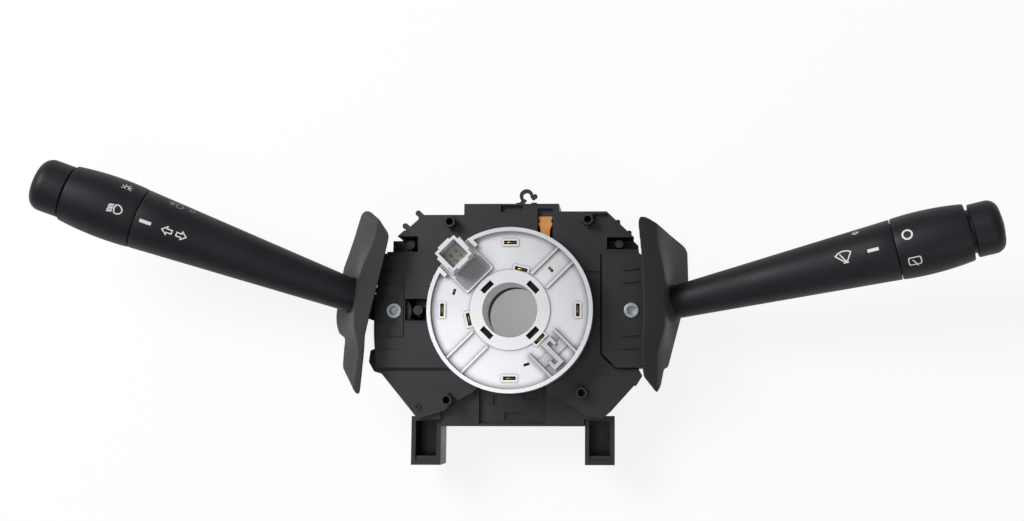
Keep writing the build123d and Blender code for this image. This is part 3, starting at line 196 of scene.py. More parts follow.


# in each look, corner and shadeReachMm set the painted shade in inner corners; rubAndGlint and edge set the paler
# edges, rubbed wear with a painted highlight
finish = {
    # glass-filled polyamide, matt tool surface; grain of 0.15 mm drawn at 0.3 mm so that it shows
    "housing_black": mouldedPlastic("mouldedPolyamide", {
        "shade": "#0e1014", "light": "#16181e", "speck": 0.8, "grainMm": 0.3, "patchMm": 14, "gloss": (0.38, 0.50),
        "bump": 0.35, "ior": 1.46, "corner": 0.8, "shadeReachMm": 2.0,
        "rubAndGlint": 0.35, "edge": "#303136"}),
    "cover_black": mouldedPlastic("mouldedPolyamideCover", {
        "shade": "#0e1015", "light": "#171920", "speck": 0.8, "grainMm": 0.3, "patchMm": 18, "gloss": (0.36, 0.48),
        "bump": 0.3, "ior": 1.46, "corner": 0.8, "shadeReachMm": 2.0,
        "rubAndGlint": 0.35, "edge": "#34353b"}),
    # polypropylene shields: etched tool that scatters the shine, dark grey
    # its wide corner mask paints shade where the shield meets the stalk root and the housing
    "shroud_grey": mouldedPlastic("mouldedPolypropylene", {
        "shade": "#2f3131", "light": "#393b3b", "speck": 0.92, "grainMm": 0.25, "patchMm": 22, "gloss": (0.42, 0.5),
        "bump": 0.12, "ior": 1.45, "shine": 0.12, "corner": 0.4, "shadeReachMm": 7.0,
        "rubAndGlint": 0.3, "edge": "#3a3c3d"}),
    # stalk skin: spark-eroded ABS, satin black with a cool cast
    "stalk_black": mouldedPlastic("sparkErodedAbs", {
        "shade": "#131419", "light": "#1b1c22", "speck": 0.8, "grainMm": 0.36, "patchMm": 20, "gloss": (0.46, 0.56),
        "bump": 0.45, "ior": 1.45, "shine": 0.3, "corner": 0.85, "shadeReachMm": 1.5,
        "rubAndGlint": 0.2, "edge": "#2c2d32"}),
    # polyester filled with aluminium flake, fairly glossy from a polished tool
    # a strong corner mask paints shade beside the ribs and inside the rim; its edges are painted near white, rubbed
    # wear with a highlight
    "reel_silver": mouldedPlastic("mouldedPolyester", {
        "shade": "#d8d8dc", "light": "#e6e7ea", "speck": 0.99, "grainMm": 0.9, "patchMm": 16, "gloss": (0.27, 0.32),
        "bump": 0.01, "ior": 1.57, "flake": 0.65, "corner": 0.3, "shadeReachMm": 3.2,
        "rubAndGlint": 0.7, "edge": "#f8f8f9"}),
    # acetal: dense black, slippery and rather shiny
    "black_acetal": mouldedPlastic("mouldedAcetal", {
        "shade": "#121213", "light": "#19191b", "speck": 0.95, "grainMm": 0.4, "patchMm": 10, "gloss": (0.25, 0.35),
        "bump": 0.06, "ior": 1.48, "corner": 0.8, "shadeReachMm": 1.5,
        "rubAndGlint": 0.2, "edge": "#2c2c2e"}),
    "connector_black": mouldedPlastic("mouldedPolyesterBlack", {
        "shade": "#151516", "light": "#1c1c1e", "speck": 0.92, "grainMm": 0.35, "patchMm": 8, "gloss": (0.34, 0.44),
        "bump": 0.1, "ior": 1.57, "corner": 0.8, "shadeReachMm": 1.5,
        "rubAndGlint": 0.25, "edge": "#303032"}),
    # pale connector resin, slightly translucent to the eye, smooth
    "socket_white": mouldedPlastic("mouldedPaleResin", {
        "shade": "#c6c8ca", "light": "#d6d8d9", "speck": 0.98, "grainMm": 0.5, "patchMm": 6, "gloss": (0.3, 0.42),
        "bump": 0.05, "ior": 1.54, "corner": 0.55, "shadeReachMm": 1.6,
        "rubAndGlint": 0.5, "edge": "#f0f1f2"}),
    # the cancel sleeve: black acetal without shine, painted darker than the other acetal as the shade deep in its slots
    "sleeve_shaded_black": mouldedPlastic("mattAcetalShaded", {
        "shade": "#060607", "light": "#0a0a0b", "speck": 0.95, "grainMm": 0.4, "patchMm": 10, "gloss": (0.6, 0.7),
        "bump": 0.06, "ior": 1.3, "corner": 0.7, "shadeReachMm": 2.0,
        "rubAndGlint": 0.0, "edge": "#141415"}),
    # the wire latch: same filled polyester as the reel, straight off a duller tool, its colour painted darker than the
    # reel's as shade
    "latch_shaded_grey": mouldedPlastic("polyesterShadedCopy", {
        "shade": "#b4b6ba", "light": "#c6c8cc", "speck": 0.98, "grainMm": 0.6, "patchMm": 5, "gloss": (0.3, 0.4),
        "bump": 0.04, "ior": 1.5, "flake": 0.35, "corner": 0.25, "shadeReachMm": 2.6,
        "rubAndGlint": 0.5, "edge": "#e6e7ea"}),
    # painted shade on the reel: the same resin in a darker grey, no shine
    "apron_shade_grey": mouldedPlastic("paintedShadeFilm", {
        "shade": "#8b8a8e", "light": "#949397", "speck": 0.96, "grainMm": 0.3, "patchMm": 8, "gloss": (0.6, 0.7),
        "bump": 0.1, "ior": 1.45, "corner": 0.8, "shadeReachMm": 1.0,
        "rubAndGlint": 0.2, "edge": "#a4a3a8"}),
    "lever_core": mouldedPlastic("glassFilledCore", {
        "shade": "#222224", "light": "#2c2c2f", "speck": 0.7, "grainMm": 0.4, "patchMm": 10, "gloss": (0.5, 0.6),
        "bump": 0.4, "ior": 1.53, "corner": 0.8, "shadeReachMm": 2.0,
        "rubAndGlint": 0.2, "edge": "#3c3c40"}),
    "tinned_brass": metalSheet("stampedBrass", {
        "shade": "#a8843c", "light": "#cfae62", "stretch": (1.0, 1.0, 6.0), "lineMm": 0.3, "stainMm": 1.5,
        "gloss": (0.25, 0.4), "metallic": 1.0}),
    # zinc plate: bluish grey, a little cloudy
    "rivet_steel": metalSheet("zincPlatedSteel", {
        "shade": "#8d9198", "light": "#b4b9c0", "stretch": (1.0, 1.0, 8.0), "lineMm": 0.4, "stainMm": 2.5,
        "gloss": (0.32, 0.48), "metallic": 0.85}),
    "ribbon_copper": metalSheet("copperPolyesterFilm", {
        "shade": "#b87436", "light": "#d39a5c", "stretch": (8.0, 1.0, 1.0), "lineMm": 0.8, "stainMm": 3.0,
        "gloss": (0.28, 0.4), "metallic": 0.35}),
    "board_green": solderMaskBoard("solderMask"),
}
printInk = padPrint("padPrintInk", "#dcdcd8")
greyInk = padPrint("padPrintInkGrey", "#77777a")
for nodeName, nodeObject in frame["nodes"].items():
    nodeObject.data.materials.clear()
    nodeObject.data.materials.append(finish[slotOf[nodeName]])
print("materials made:", len(finish) + 2)


def newPiece(name, mesh, material, body, replaced=()):
    piece = linkObject(name, mesh)
    mesh.materials.clear()
    mesh.materials.append(material)
    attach(piece, body)
    if replaced:
        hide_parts(*replaced)
    return piece


def smoothByAngle(mesh, limit):
    # smooth faces, hard edges where the surface turns by more than limit degrees
    work = bmesh.new()
    work.from_mesh(mesh)
    for face in work.faces:
        face.smooth = True
    for edge in work.edges:
        edge.smooth = len(edge.link_faces) == 2 and edge.calc_face_angle(0) < radians(limit)
    work.to_mesh(mesh)
    work.free()


def bevelEdges(piece, width):
    bevel = piece.modifiers.new("roundedEdges", "BEVEL")
    bevel.width, bevel.segments = width * mm, 2
    bevel.limit_method, bevel.angle_limit = "ANGLE", radians(30)
    bevel.use_clamp_overlap = True
    bevel.harden_normals = True


def mergedCopy(nodeName):
    # the node's loose triangles joined up, flat faces made whole
    mesh = frame["nodes"][nodeName].data.copy()
    work = bmesh.new()
    work.from_mesh(mesh)
    bmesh.ops.remove_doubles(work, verts=work.verts, dist=0.002 * mm)
    bmesh.ops.dissolve_limit(work, angle_limit=radians(0.5), verts=work.verts, edges=work.edges)
    work.to_mesh(mesh)
    work.free()
    return mesh


# darker copies of their slot's finish, painted shade: the sleeve deep in the reel's slots, the wire latch in shade
shadedFinish = {"cancel_sleeve": "sleeve_shaded_black", "wire_latch": "latch_shaded_grey"}


def softEdged(nodeName, width):
    mesh = mergedCopy(nodeName)
    mesh.name = nodeName + "Moulded"
    smoothByAngle(mesh, 32)
    look = finish[shadedFinish.get(nodeName, slotOf[nodeName])]
    piece = newPiece(nodeName + "Moulded", mesh, look, bodyOf[nodeName], (nodeName,))
    bevelEdges(piece, width)
    return piece


def roundedRim(piece, rim):
    # the reel's edge bead is rounder than its other edges: bevel by weight instead of by angle
    mesh = piece.data
    work = bmesh.new()
    work.from_mesh(mesh)
    weights = work.edges.layers.float.new("bevel_weight_edge")
    for edge in work.edges:
        if len(edge.link_faces) != 2 or edge.calc_face_angle(0) < radians(30):
            continue
        high = all(v.co.z > rim["above"] * mm for v in edge.verts)
        wide = all(hypot(v.co.x, v.co.y) > rim["outside"] * mm for v in edge.verts)
        edge[weights] = 1.0 if high and wide else rim["others"]
    work.to_mesh(mesh)
    work.free()
    bevel = piece.modifiers["roundedEdges"]
    bevel.limit_method, bevel.width, bevel.segments = "WEIGHT", rim["round"] * mm, rim["segments"]


def turned(name, profile, origin, along, segments=96):
    # spins a list of (along, radius) in mm round an axis; radius 0 makes a pole
    axis = Vector(along).normalized()
    side = axis.orthogonal().normalized()
    other = axis.cross(side)
    mesh = bpy.data.meshes.new(name)
    work = bmesh.new()
    rings = []
    for step, radius in profile:
        centre = Vector(origin) + axis * step * mm
        if radius < 1e-6:
            rings.append([work.verts.new(centre)])
            continue
        rings.append([work.verts.new(centre + (side * cos(2 * pi * i / segments) + other * sin(2 * pi * i / segments))
                                     * radius * mm) for i in range(segments)])
    pairs = list(zip(rings, rings[1:]))
    if profile[0][1] > 0 and profile[-1][1] > 0:
        pairs.append((rings[-1], rings[0]))
    for first, second in pairs:
        for i in range(segments):
            j = (i + 1) % segments
            corners = [first[i % len(first)], first[j % len(first)], second[j % len(second)], second[i % len(second)]]
            unique = list(dict.fromkeys(corners))
            if len(unique) > 2:
                work.faces.new(unique)
    bmesh.ops.recalc_face_normals(work, faces=work.faces)
    work.to_mesh(mesh)
    work.free()
    smoothByAngle(mesh, 32)
    return mesh


def arcPoints(first, middle, last, count):
    # points of the circle through three (along, radius) points
    (x1, y1), (x2, y2), (x3, y3) = first, middle, last
    d = 2 * (x1 * (y2 - y3) + x2 * (y3 - y1) + x3 * (y1 - y2))
    cx = ((x1**2 + y1**2) * (y2 - y3) + (x2**2 + y2**2) * (y3 - y1) + (x3**2 + y3**2) * (y1 - y2)) / d
    cy = ((x1**2 + y1**2) * (x3 - x2) + (x2**2 + y2**2) * (x1 - x3) + (x3**2 + y3**2) * (x2 - x1)) / d
    r = hypot(x1 - cx, y1 - cy)
    a, b = atan2(y1 - cy, x1 - cx), atan2(y3 - cy, x3 - cx)
    return [(cx + r * cos(a + (b - a) * i / count), cy + r * sin(a + (b - a) * i / count)) for i in range(count + 1)]


# the two stalks: shell, knob, end piece
stalks = {
    "left": {"side": -1, "azimuth": 160.3, "body": "left_lever", "knobBody": "left_knob",
             "knobNode": "left_light_knob", "tipBody": "left_knob", "tipNode": "left_end_cap", "gap": 0.6},
    "right": {"side": 1, "azimuth": 12.6, "body": "right_lever", "knobBody": "right_knob",
              "knobNode": "right_rear_wiper_knob", "tipBody": "right_button", "tipNode": "right_end_button",
              "gap": 1.8},
}
stalkForm = {"pivotOut": 52.8, "pivotUp": 0.6, "level": 24.0, "rise": 12.8, "root": 18.0, "seam": 120.2, "rootR": 7.24,
             "seamR": 13.35, "knobStart": 120.5, "knobSeamR": 13.45, "belly": 131.0, "bellyR": 13.95,
             "knobEnd": 151.6, "endR": 12.4, "tip": 166.4, "tipR": 11.6, "tipRound": 5.0, "spigotR": 8.0,
             "spigotEnd": 145.0, "mouthR": 9.8, "mouthDepth": 6, "stepR": 11.5, "stepEnd": 122.0,
             "plugStart": 147.4, "play": 0.3, "slip": 0.05, "chamfer": 0.3, "crownDrop": 0.8}
# plugStart keeps the end piece clear of its knob's floor when it is pushed in
knobCurve = arcPoints((stalkForm["knobStart"], stalkForm["knobSeamR"]), (stalkForm["belly"], stalkForm["bellyR"]),
                      (stalkForm["knobEnd"], stalkForm["endR"]), 24)


def stalkAxes(hand):
    # origin at the pivot, then the unit vectors along the stalk, towards the driver and across
    s, rise, turn = stalks[hand], radians(stalkForm["rise"]), radians(stalks[hand]["azimuth"])
    origin = Vector((s["side"] * stalkForm["pivotOut"], stalkForm["pivotUp"], stalkForm["level"])) * mm
    along = Vector((cos(rise) * cos(turn), cos(rise) * sin(turn), sin(rise)))
    across = Vector((sin(turn), -cos(turn), 0))
    front = across.cross(along)
    return origin, along, front if front.z > 0 else -front, across


def skinRadius(step):
    f = stalkForm
    if step <= f["seam"]:
        return f["rootR"] + (f["seamR"] - f["rootR"]) * (step - f["root"]) / (f["seam"] - f["root"])
    for (a, ra), (b, rb) in zip(knobCurve, knobCurve[1:]):
        if step <= b:
            return ra + (rb - ra) * (step - a) / (b - a)
    return f["tipR"]


def makeStalk(hand):
    f, s = stalkForm, stalks[hand]
    origin, along = stalkAxes(hand)[:2]
    steps = [f["root"] + (f["seam"] - 0.35 - f["root"]) * i / 12 for i in range(13)]
    shell = [(f["root"], 0)] + [(a, skinRadius(a)) for a in steps]
    shell += [(f["seam"] - 0.1, f["seamR"] - 0.12), (f["seam"], f["seamR"] - 0.35), (f["seam"], f["stepR"]),
              (f["stepEnd"], f["stepR"]), (f["stepEnd"], f["spigotR"]), (f["spigotEnd"], f["spigotR"]),
              (f["spigotEnd"], 0)]
    newPiece(hand + "StalkShell", turned(hand + "StalkShell", shell, origin, along, 112), finish["stalk_black"],
             s["body"], (hand + "_stalk",))
    start, end = knobCurve[0], knobCurve[-1]
    knob = [(start[0], start[1] - 0.4), (start[0] + 0.12, start[1] - 0.13)] + knobCurve[1:-1]
    knob += [(end[0] - 0.25, end[1] + 0.02), (end[0], end[1] - 0.3), (end[0], f["mouthR"]),
             (end[0] - f["mouthDepth"], f["mouthR"]), (end[0] - f["mouthDepth"], f["spigotR"] + f["slip"]),
             (f["stepEnd"] + f["play"], f["spigotR"] + f["slip"]), (f["stepEnd"] + f["play"], f["stepR"] + f["play"]),
             (start[0], f["stepR"] + f["play"])]
    newPiece(s["knobNode"] + "Turned", turned(s["knobNode"], knob, origin, along, 112), finish["stalk_black"],
             s["knobBody"], (s["knobNode"],))
    base = f["knobEnd"] + s["gap"]
    crown = [(f["tip"] - f["crownDrop"] - f["tipRound"] * (1 - sin(t)), f["tipR"] - f["tipRound"] * (1 - cos(t)))
             for t in [pi / 2 * i / 10 for i in range(1, 11)]]
    tip = [(f["plugStart"], 0), (f["plugStart"], f["mouthR"] - f["play"]), (base, f["mouthR"] - f["play"]),
           (base, f["tipR"] - f["chamfer"]), (base + f["chamfer"], f["tipR"]),
           (f["tip"] - f["tipRound"] - f["crownDrop"], f["tipR"])] + crown
    tip += [(f["tip"] - 0.3, (f["tipR"] - f["tipRound"]) * 0.6), (f["tip"] - 0.05, (f["tipR"] - f["tipRound"]) * 0.25),
            (f["tip"], 0)]
    newPiece(s["tipNode"] + "Turned", turned(s["tipNode"], tip, origin, along, 112), finish["stalk_black"],
             s["tipBody"], (s["tipNode"],))


for hand in stalks:
    makeStalk(hand)
print("stalks turned")


# shrouds: bent shields, slim at their ends and fuller beside the stalk, with a flowing root
# sections as (out, level), outlines as (out, up), both in mm from the stalk's pivot
shroudForm = {
    "left": {"turn": 172.9, "wall": 1.6,
             "slim": [(1.5, 55.6), (9.5, 50.2), (12.3, 46.4), (21.5, 32.0), (33.0, 12.0)],
             "full": [(1.5, 55.6), (13.4, 48.8), (16.2, 45.0), (21.0, 31.0), (33.0, 12.0)],
             "outline": [(3.8, 31.1), (4.7, 32.9), (10.0, 38.5), (16.7, 42.7), (19.5, 43.4), (22.2, 42.4),
                         (25.1, 31.2), (30.1, 17.6), (30.5, -4.3), (29.1, -8.9), (26.4, -12.7), (21.1, -14.8),
                         (19.6, -27.8), (8.7, -38.3), (7.1, -38.1), (7.1, -35.5), (7.9, -19.6), (8.5, -12.7),
                         (7.4, -2.5), (4.7, 19.6)]},
    "right": {"turn": 0.0, "wall": 1.0,
              "slim": [(1.5, 55.6), (9.5, 50.2), (12.3, 46.4), (19.0, 30.0), (29.5, 8.0)],
              "full": [(1.5, 55.6), (12.6, 49.0), (15.3, 45.2), (18.6, 30.0), (29.5, 8.0)],
              "outline": [(2.8, 37.2), (3.4, 39.8), (5.8, 40.2), (24.6, 31.2), (26.2, 29.0), (26.6, 16.8),
                          (26.4, 8.0), (22.7, -2.1), (16.1, -25.3), (14.2, -25.8), (12.7, -33.3), (10.8, -36.6),
                          (4.8, -29.1), (4.4, -18.1), (5.0, 3.5), (4.0, 25.1)]},
}
sheet = {"low": -22.0, "fullFrom": -5.0, "fullTo": 12.0, "high": 34.0, "reach": 48.0, "rows": 96,
         "columns": 36, "corner": 1.3, "rootStart": 17.6, "rootEnd": 20.4, "rootWall": 1.3, "rootRound": 0.8,
         "coreEnd": 60, "coreSlack": 0.05, "backWay": (0.8, 0.6), "voxel": 0.42, "rounds": 9}


def eased(share):
    share = min(1.0, max(0.0, share))
    return share * share * (3 - 2 * share)


def curveThrough(corners, count):
    # smooth curve through the corners (Catmull-Rom)
    padded = [corners[0]] + corners + [corners[-1]]
    out = []
    for i in range(count + 1):
        place = i / count * (len(corners) - 1)
        k = min(int(place), len(corners) - 2)
        t = place - k
        a, b, c, d = (Vector(p) for p in padded[k:k + 4])
        out.append(0.5 * (2 * b + (c - a) * t + (2 * a - 5 * b + 4 * c - d) * t * t
                          + (3 * b - 3 * c + d - a) * t * t * t))
    return out


def roundedOutline(points, cut):
    # each corner becomes a short curve that starts at most cut before it
    out = []
    for i, p in enumerate(points):
        p, before, after = Vector(p), Vector(points[i - 1]), Vector(points[(i + 1) % len(points)])
        a = p + (before - p) * min(0.4, cut / (before - p).length)
        b = p + (after - p) * min(0.4, cut / (after - p).length)
        out += [a * (1 - t) ** 2 + p * 2 * t * (1 - t) + b * t * t for t in (0.0, 0.33, 0.67, 1.0)]
    return out


def closedMesh(name, rings):
    # skin over a list of equally long rings, with a flat face at each end
    mesh = bpy.data.meshes.new(name)
    work = bmesh.new()
    rows = [[work.verts.new(point) for point in ring] for ring in rings]
    for low, high in zip(rows, rows[1:]):
        for i in range(len(low)):
            j = (i + 1) % len(low)
            work.faces.new((low[i], low[j], high[j], high[i]))
    work.faces.new(rows[0])
    work.faces.new(rows[-1])
    bmesh.ops.recalc_face_normals(work, faces=work.faces)
    work.to_mesh(mesh)
    work.free()
    return mesh


def makeShroud(hand):
    form, side, turn = shroudForm[hand], stalks[hand]["side"], radians(shroudForm[hand]["turn"])
    pivot = Vector((side * stalkForm["pivotOut"], stalkForm["pivotUp"], 0))
    outWay, upWay = Vector((cos(turn), sin(turn), 0)), Vector((-sin(turn), cos(turn), 0)) * side
    slim, full = (curveThrough(form[k], sheet["columns"]) for k in ("slim", "full"))
    rings = []
    for i in range(sheet["rows"] + 1):
        up = sheet["reach"] * (2 * i / sheet["rows"] - 1)
        share = min(eased((up - sheet["low"]) / (sheet["fullFrom"] - sheet["low"])),
                    eased((sheet["high"] - up) / (sheet["high"] - sheet["fullTo"])))
        line = [a.lerp(b, share) for a, b in zip(slim, full)]
        back = [p - Vector(sheet["backWay"]) * form["wall"] for p in reversed(line)]
        rings.append([(pivot + outWay * p.x + upWay * up + Vector((0, 0, p.y))) * mm for p in line + back])
    outline = roundedOutline(form["outline"], sheet["corner"])
    origin, along = stalkAxes(hand)[:2]
    start, end, wall, soft = (sheet[k] for k in ("rootStart", "rootEnd", "rootWall", "rootRound"))
    deep, slack = sheet["coreEnd"], sheet["coreSlack"]
    parts = {
        "Sheet": closedMesh("sheet", rings),
        "Trim": closedMesh("trim", [[(pivot + outWay * p.x + upWay * p.y + Vector((0, 0, level))) * mm
                                     for p in outline] for level in (-10, 90)]),
        "Root": turned("root", [(start, 0), (start, skinRadius(start) + wall), (end - soft, skinRadius(end) + wall),
                                (end, skinRadius(end) + wall - soft), (end, 0)], origin, along),
        "Core": turned("core", [(0, 0), (0, skinRadius(0) + slack), (deep, skinRadius(deep) + slack), (deep, 0)],
                       origin, along),
    }
    tools = {k: linkObject(hand + "Shroud" + k, mesh) for k, mesh in parts.items()}
    for label, kind in (("Trim", "INTERSECT"), ("Root", "UNION"), ("Core", "DIFFERENCE")):
        cut = tools["Sheet"].modifiers.new(label, "BOOLEAN")
        cut.operation, cut.solver, cut.object = kind, "EXACT", tools[label]
    remesh = tools["Sheet"].modifiers.new("evenSkin", "REMESH")
    remesh.mode, remesh.voxel_size = "VOXEL", sheet["voxel"] * mm
    relax = tools["Sheet"].modifiers.new("softened", "SMOOTH")
    relax.factor, relax.iterations = 0.5, sheet["rounds"]
    graph = bpy.context.evaluated_depsgraph_get()
    mesh = bpy.data.meshes.new_from_object(tools["Sheet"].evaluated_get(graph))
    for tool in tools.values():
        bpy.data.objects.remove(tool)
    for polygon in mesh.polygons:
        polygon.use_smooth = True
    newPiece(hand + "ShroudMoulded", mesh, finish["shroud_grey"], bodyOf[hand + "_shroud"], (hand + "_shroud",))


for hand in stalks:
    makeShroud(hand)
print("shrouds moulded")


# body, covers and small mouldings keep their CAD form with rounded edges
edgeWidth = {"rear_housing": 0.3, "front_cover": 0.25, "left_switch_case": 0.2, "right_switch_case": 0.2,
             "left_switch_cover": 0.25, "right_switch_cover": 0.3, "reel_base": 0.2, "reel_disc": 0.2,
             "airbag_socket": 0.15, "wire_latch": 0.15, "left_carrier": 0.2, "right_carrier": 0.2,
             "left_connector": 0.15, "reel_connector": 0.15, "right_connector": 0.15, "left_contact_slide": 0.15,
             "right_contact_slide": 0.15, "column_clamp": 0.15, "clamp_screw": 0.1, "ribbon_tail": 0.08,
             "cancel_sleeve": 0.1, "left_pivot_pin": 0.15, "right_pivot_pin": 0.15}
moulded = {nodeName: softEdged(nodeName, width) for nodeName, width in edgeWidth.items()}
rimForm = {"above": 52.0, "outside": 34.0, "others": 0.25, "round": 0.7, "segments": 4}
roundedRim(moulded["reel_disc"], rimForm)
print("mouldings rounded:", len(edgeWidth))


def makeApron():
    # painted shade: a thin darker-grey film on the slab between the airbag socket and the bore
    patch = {"near": 18.8, "far": 26.9, "half": 7.5, "corner": 1.4, "level": 51.2, "sunk": 0.1,
             "film": 0.04, "turn": 135}
    near, far, half, turn = patch["near"], patch["far"], patch["half"], radians(patch["turn"])
    outline = roundedOutline([(near, -half), (far, -half), (far, half), (near, half)], patch["corner"])
    rings = [[Vector((p.x * cos(turn) - p.y * sin(turn), p.x * sin(turn) + p.y * cos(turn), level)) * mm
              for p in outline] for level in (patch["level"] - patch["sunk"], patch["level"] + patch["film"])]
    newPiece("socketApron", closedMesh("socketApron", rings), finish["apron_shade_grey"], "reel")


def makeLiner():
    # plain bearing liner that lines the shaft bore below the hub
    liner = {"top": 45.05, "bottom": 26.0, "inner": 12.02, "outer": 12.66}
    profile = [(liner["top"], liner["inner"]), (liner["top"], liner["outer"]), (liner["bottom"], liner["outer"]),
               (liner["bottom"], liner["inner"])]
    newPiece("shaftLiner", turned("shaftLiner", profile, (0, 0, 0), (0, 0, 1), 128), finish["reel_silver"], "reel")


makeApron()
makeLiner()


# printed symbols, laid on the stalk skins
def strokeBand(points, width, closed):
    # 2-D strip round a line of points: lists of left and right points
    count = len(points)
    rows = []
    for i, p in enumerate(points):
        before = points[i - 1] if i or closed else None
        after = points[(i + 1) % count] if i < count - 1 or closed else None
        ways = [Vector(b) - Vector(a) for a, b in ((before, p), (p, after)) if a is not None and b is not None]
        ways = [w.normalized() for w in ways if w.length > 1e-9]
        way = sum(ways, Vector((0, 0))).normalized()
        normal = Vector((-way.y, way.x))
        reach = width / 2 / max(0.5, normal.dot(Vector((-ways[0].y, ways[0].x))))
        rows.append((Vector(p) + normal * reach, Vector(p) - normal * reach))
    return rows


inkForm = {"step": 0.4, "lift": 0.03, "film": 0.025}


def fineLine(points, closed):
    # more points on each run so that the band follows the round skin
    out = []
    runs = list(zip(points, points[1:] + points[:1])) if closed else list(zip(points, points[1:]))
    for (x1, y1), (x2, y2) in runs:
        n = max(1, int(hypot(x2 - x1, y2 - y1) / inkForm["step"]))
        out += [(x1 + (x2 - x1) * i / n, y1 + (y2 - y1) * i / n) for i in range(n)]
    return out if closed else out + [points[-1]]


def ringPoints(radius, start=0, sweep=360, count=24, x=0, y=0):
    turns = count if sweep == 360 else count + 1
    return [(x + radius * cos(radians(start + sweep * i / count)), y + radius * sin(radians(start + sweep * i / count)))
            for i in range(turns)]


arrow = [(-2.4, 0), (-0.3, 1.75), (-0.3, 0.8), (1.9, 0.8), (1.9, -0.8), (-0.3, -0.8), (-0.3, -1.75)]
lampBody = [(-0.3, 1.7), (0.9, 1.95), (2.2, 1.2), (2.9, -0.1), (2.3, -1.4), (1.0, -1.95), (-0.2, -1.6), (-0.6, 0)]
fan = [(-3.2, 1.0), (-2.0, 1.9), (-0.4, 2.3), (1.2, 2.2), (2.8, 1.5), (1.0, -1.5), (-0.6, -1.5)]
glass = [(-2.6, -1.1), (-2.6, 1.1), (-2.2, 1.7), (2.2, 1.7), (2.6, 1.1), (2.6, -1.1), (2.2, -1.7), (-2.2, -1.7)]
# place (along, degrees round), ink, line width and lines as (closed, points); x to the right, y up for the driver
symbols = {
    "left": {
        "indexBar": (115.4, -2.8, printInk, 1.45, [(False, [(-2.5, 0), (2.5, 0)])]),
        "turnArrows": (102.75, -4.25, printInk, 0.5, [(True, [(x - 2.9, y) for x, y in arrow]),
                                                    (True, [(2.9 - x, y) for x, y in arrow])]),
        "headlamp": (128.6, 1.5, printInk, 0.5, [(True, lampBody)] + [
            (False, [(-1.1, y), (-3.3, y - 0.5)]) for y in (1.5, 0.75, 0.0, -0.75, -1.5)]),
        "sidelight": (128.35, 49.5, printInk, 0.42, [(False, ringPoints(1.0, -60, 300, 18))] + [
            (False, [(1.5 * cos(radians(a)), 1.5 * sin(radians(a))), (2.3 * cos(radians(a)), 2.3 * sin(radians(a)))])
            for a in (20, 65, 115, 160, 205, 335)]),
        "fogLamp": (107.0, 61.0, greyInk, 0.45, [(True, [(x * 0.9 + 0.6, y * 0.9) for x, y in lampBody])] + [
            (False, [(-0.8, y), (-2.8, y)]) for y in (1.1, 0.4, -0.3, -1.0)]),
        "fogRing": (99.9, 63.0, greyInk, 0.4, [(True, ringPoints(0.95))]),
    },
    "right": {
        "indexBar": (111.0, -5.7, printInk, 1.4, [(False, [(-2.4, 0), (2.4, 0)])]),
        "windscreenWiper": (98.55, -5.6, printInk, 0.5, [
            (True, [(1.15 * x, 1.15 * y) for x, y in fan]), (False, [(-1.7, 1.6), (-0.2, -1.0), (0.7, -2.5)]),
            (False, [(-0.8, -2.5), (1.5, -2.5)])]),
        "diamond": (105.3, -58.0, printInk, 0.45, [(True, [(-1.3, 0), (0, 1.1), (1.3, 0), (0, -1.1)])]),
        "offRing": (126.2, -17.6, printInk, 0.75, [(True, ringPoints(2.0))]),
        "rearWiper": (126.8, 32.0, printInk, 0.5, [(True, glass), (False, [(-0.9, 0.6), (0.2, -1.0), (0.9, -2.6)])]),
    },
}


def printSymbols(hand):
    origin, along, front, across = stalkAxes(hand)
    flip = -1 if hand == "left" else 1   # the driver reads the left stalk from tip to root
    for name, (place, around, ink, width, lines) in symbols[hand].items():
        work = bmesh.new()
        for closed, points in lines:
            rows = strokeBand(fineLine(points, closed), width, closed)
            verts = []
            for pair in rows:
                row = []
                for x, y in pair:
                    step = place + flip * x
                    radius = skinRadius(step) + inkForm["lift"]
                    turn = radians(around) - flip * y / radius
                    row.append(work.verts.new(origin + (along * step + (front * cos(turn) + across * sin(turn))
                                                        * radius) * mm))
                verts.append(row)
            order = list(zip(verts, verts[1:] + verts[:1])) if closed else list(zip(verts, verts[1:]))
            for (a, b), (c, d) in order:
                work.faces.new((a, b, d, c))
        for face in work.faces:
            face.normal_update()
            middle = face.calc_center_median() - origin
            outward = middle - along * middle.dot(along)
            if face.normal.dot(outward) < 0:
                face.normal_flip()
        mesh = bpy.data.meshes.new(hand + "Print_" + name)
        work.to_mesh(mesh)
        work.free()
        onKnob = place > stalkForm["seam"]
        piece = newPiece(hand + "Print_" + name, mesh, ink, stalks[hand]["knobBody" if onKnob else "body"])
        film = piece.modifiers.new("inkFilm", "SOLIDIFY")
        film.thickness, film.offset = inkForm["film"] * mm, 1.0


for hand in symbols:
    printSymbols(hand)
print("symbols printed")


# things that repeat or follow a rule, made with Geometry Nodes
def newTree(name, inputs):
    tree = bpy.data.node_groups.new(name, "GeometryNodeTree")
    tree.interface.new_socket("Geometry", in_out="INPUT", socket_type="NodeSocketGeometry")
    for label, kind in inputs.items():
        tree.interface.new_socket(label, in_out="INPUT", socket_type=kind)
    tree.interface.new_socket("Geometry", in_out="OUTPUT", socket_type="NodeSocketGeometry")
    return tree, addNode(tree, "NodeGroupInput").outputs


def closeTree(tree, geometry, material):
    real = addNode(tree, "GeometryNodeRealizeInstances", {}, {"Geometry": geometry})
    coloured = addNode(tree, "GeometryNodeSetMaterial", {"Material": material}, {"Geometry": real.outputs[0]})
    addNode(tree, "NodeGroupOutput", {}, {"Geometry": coloured.outputs[0]})


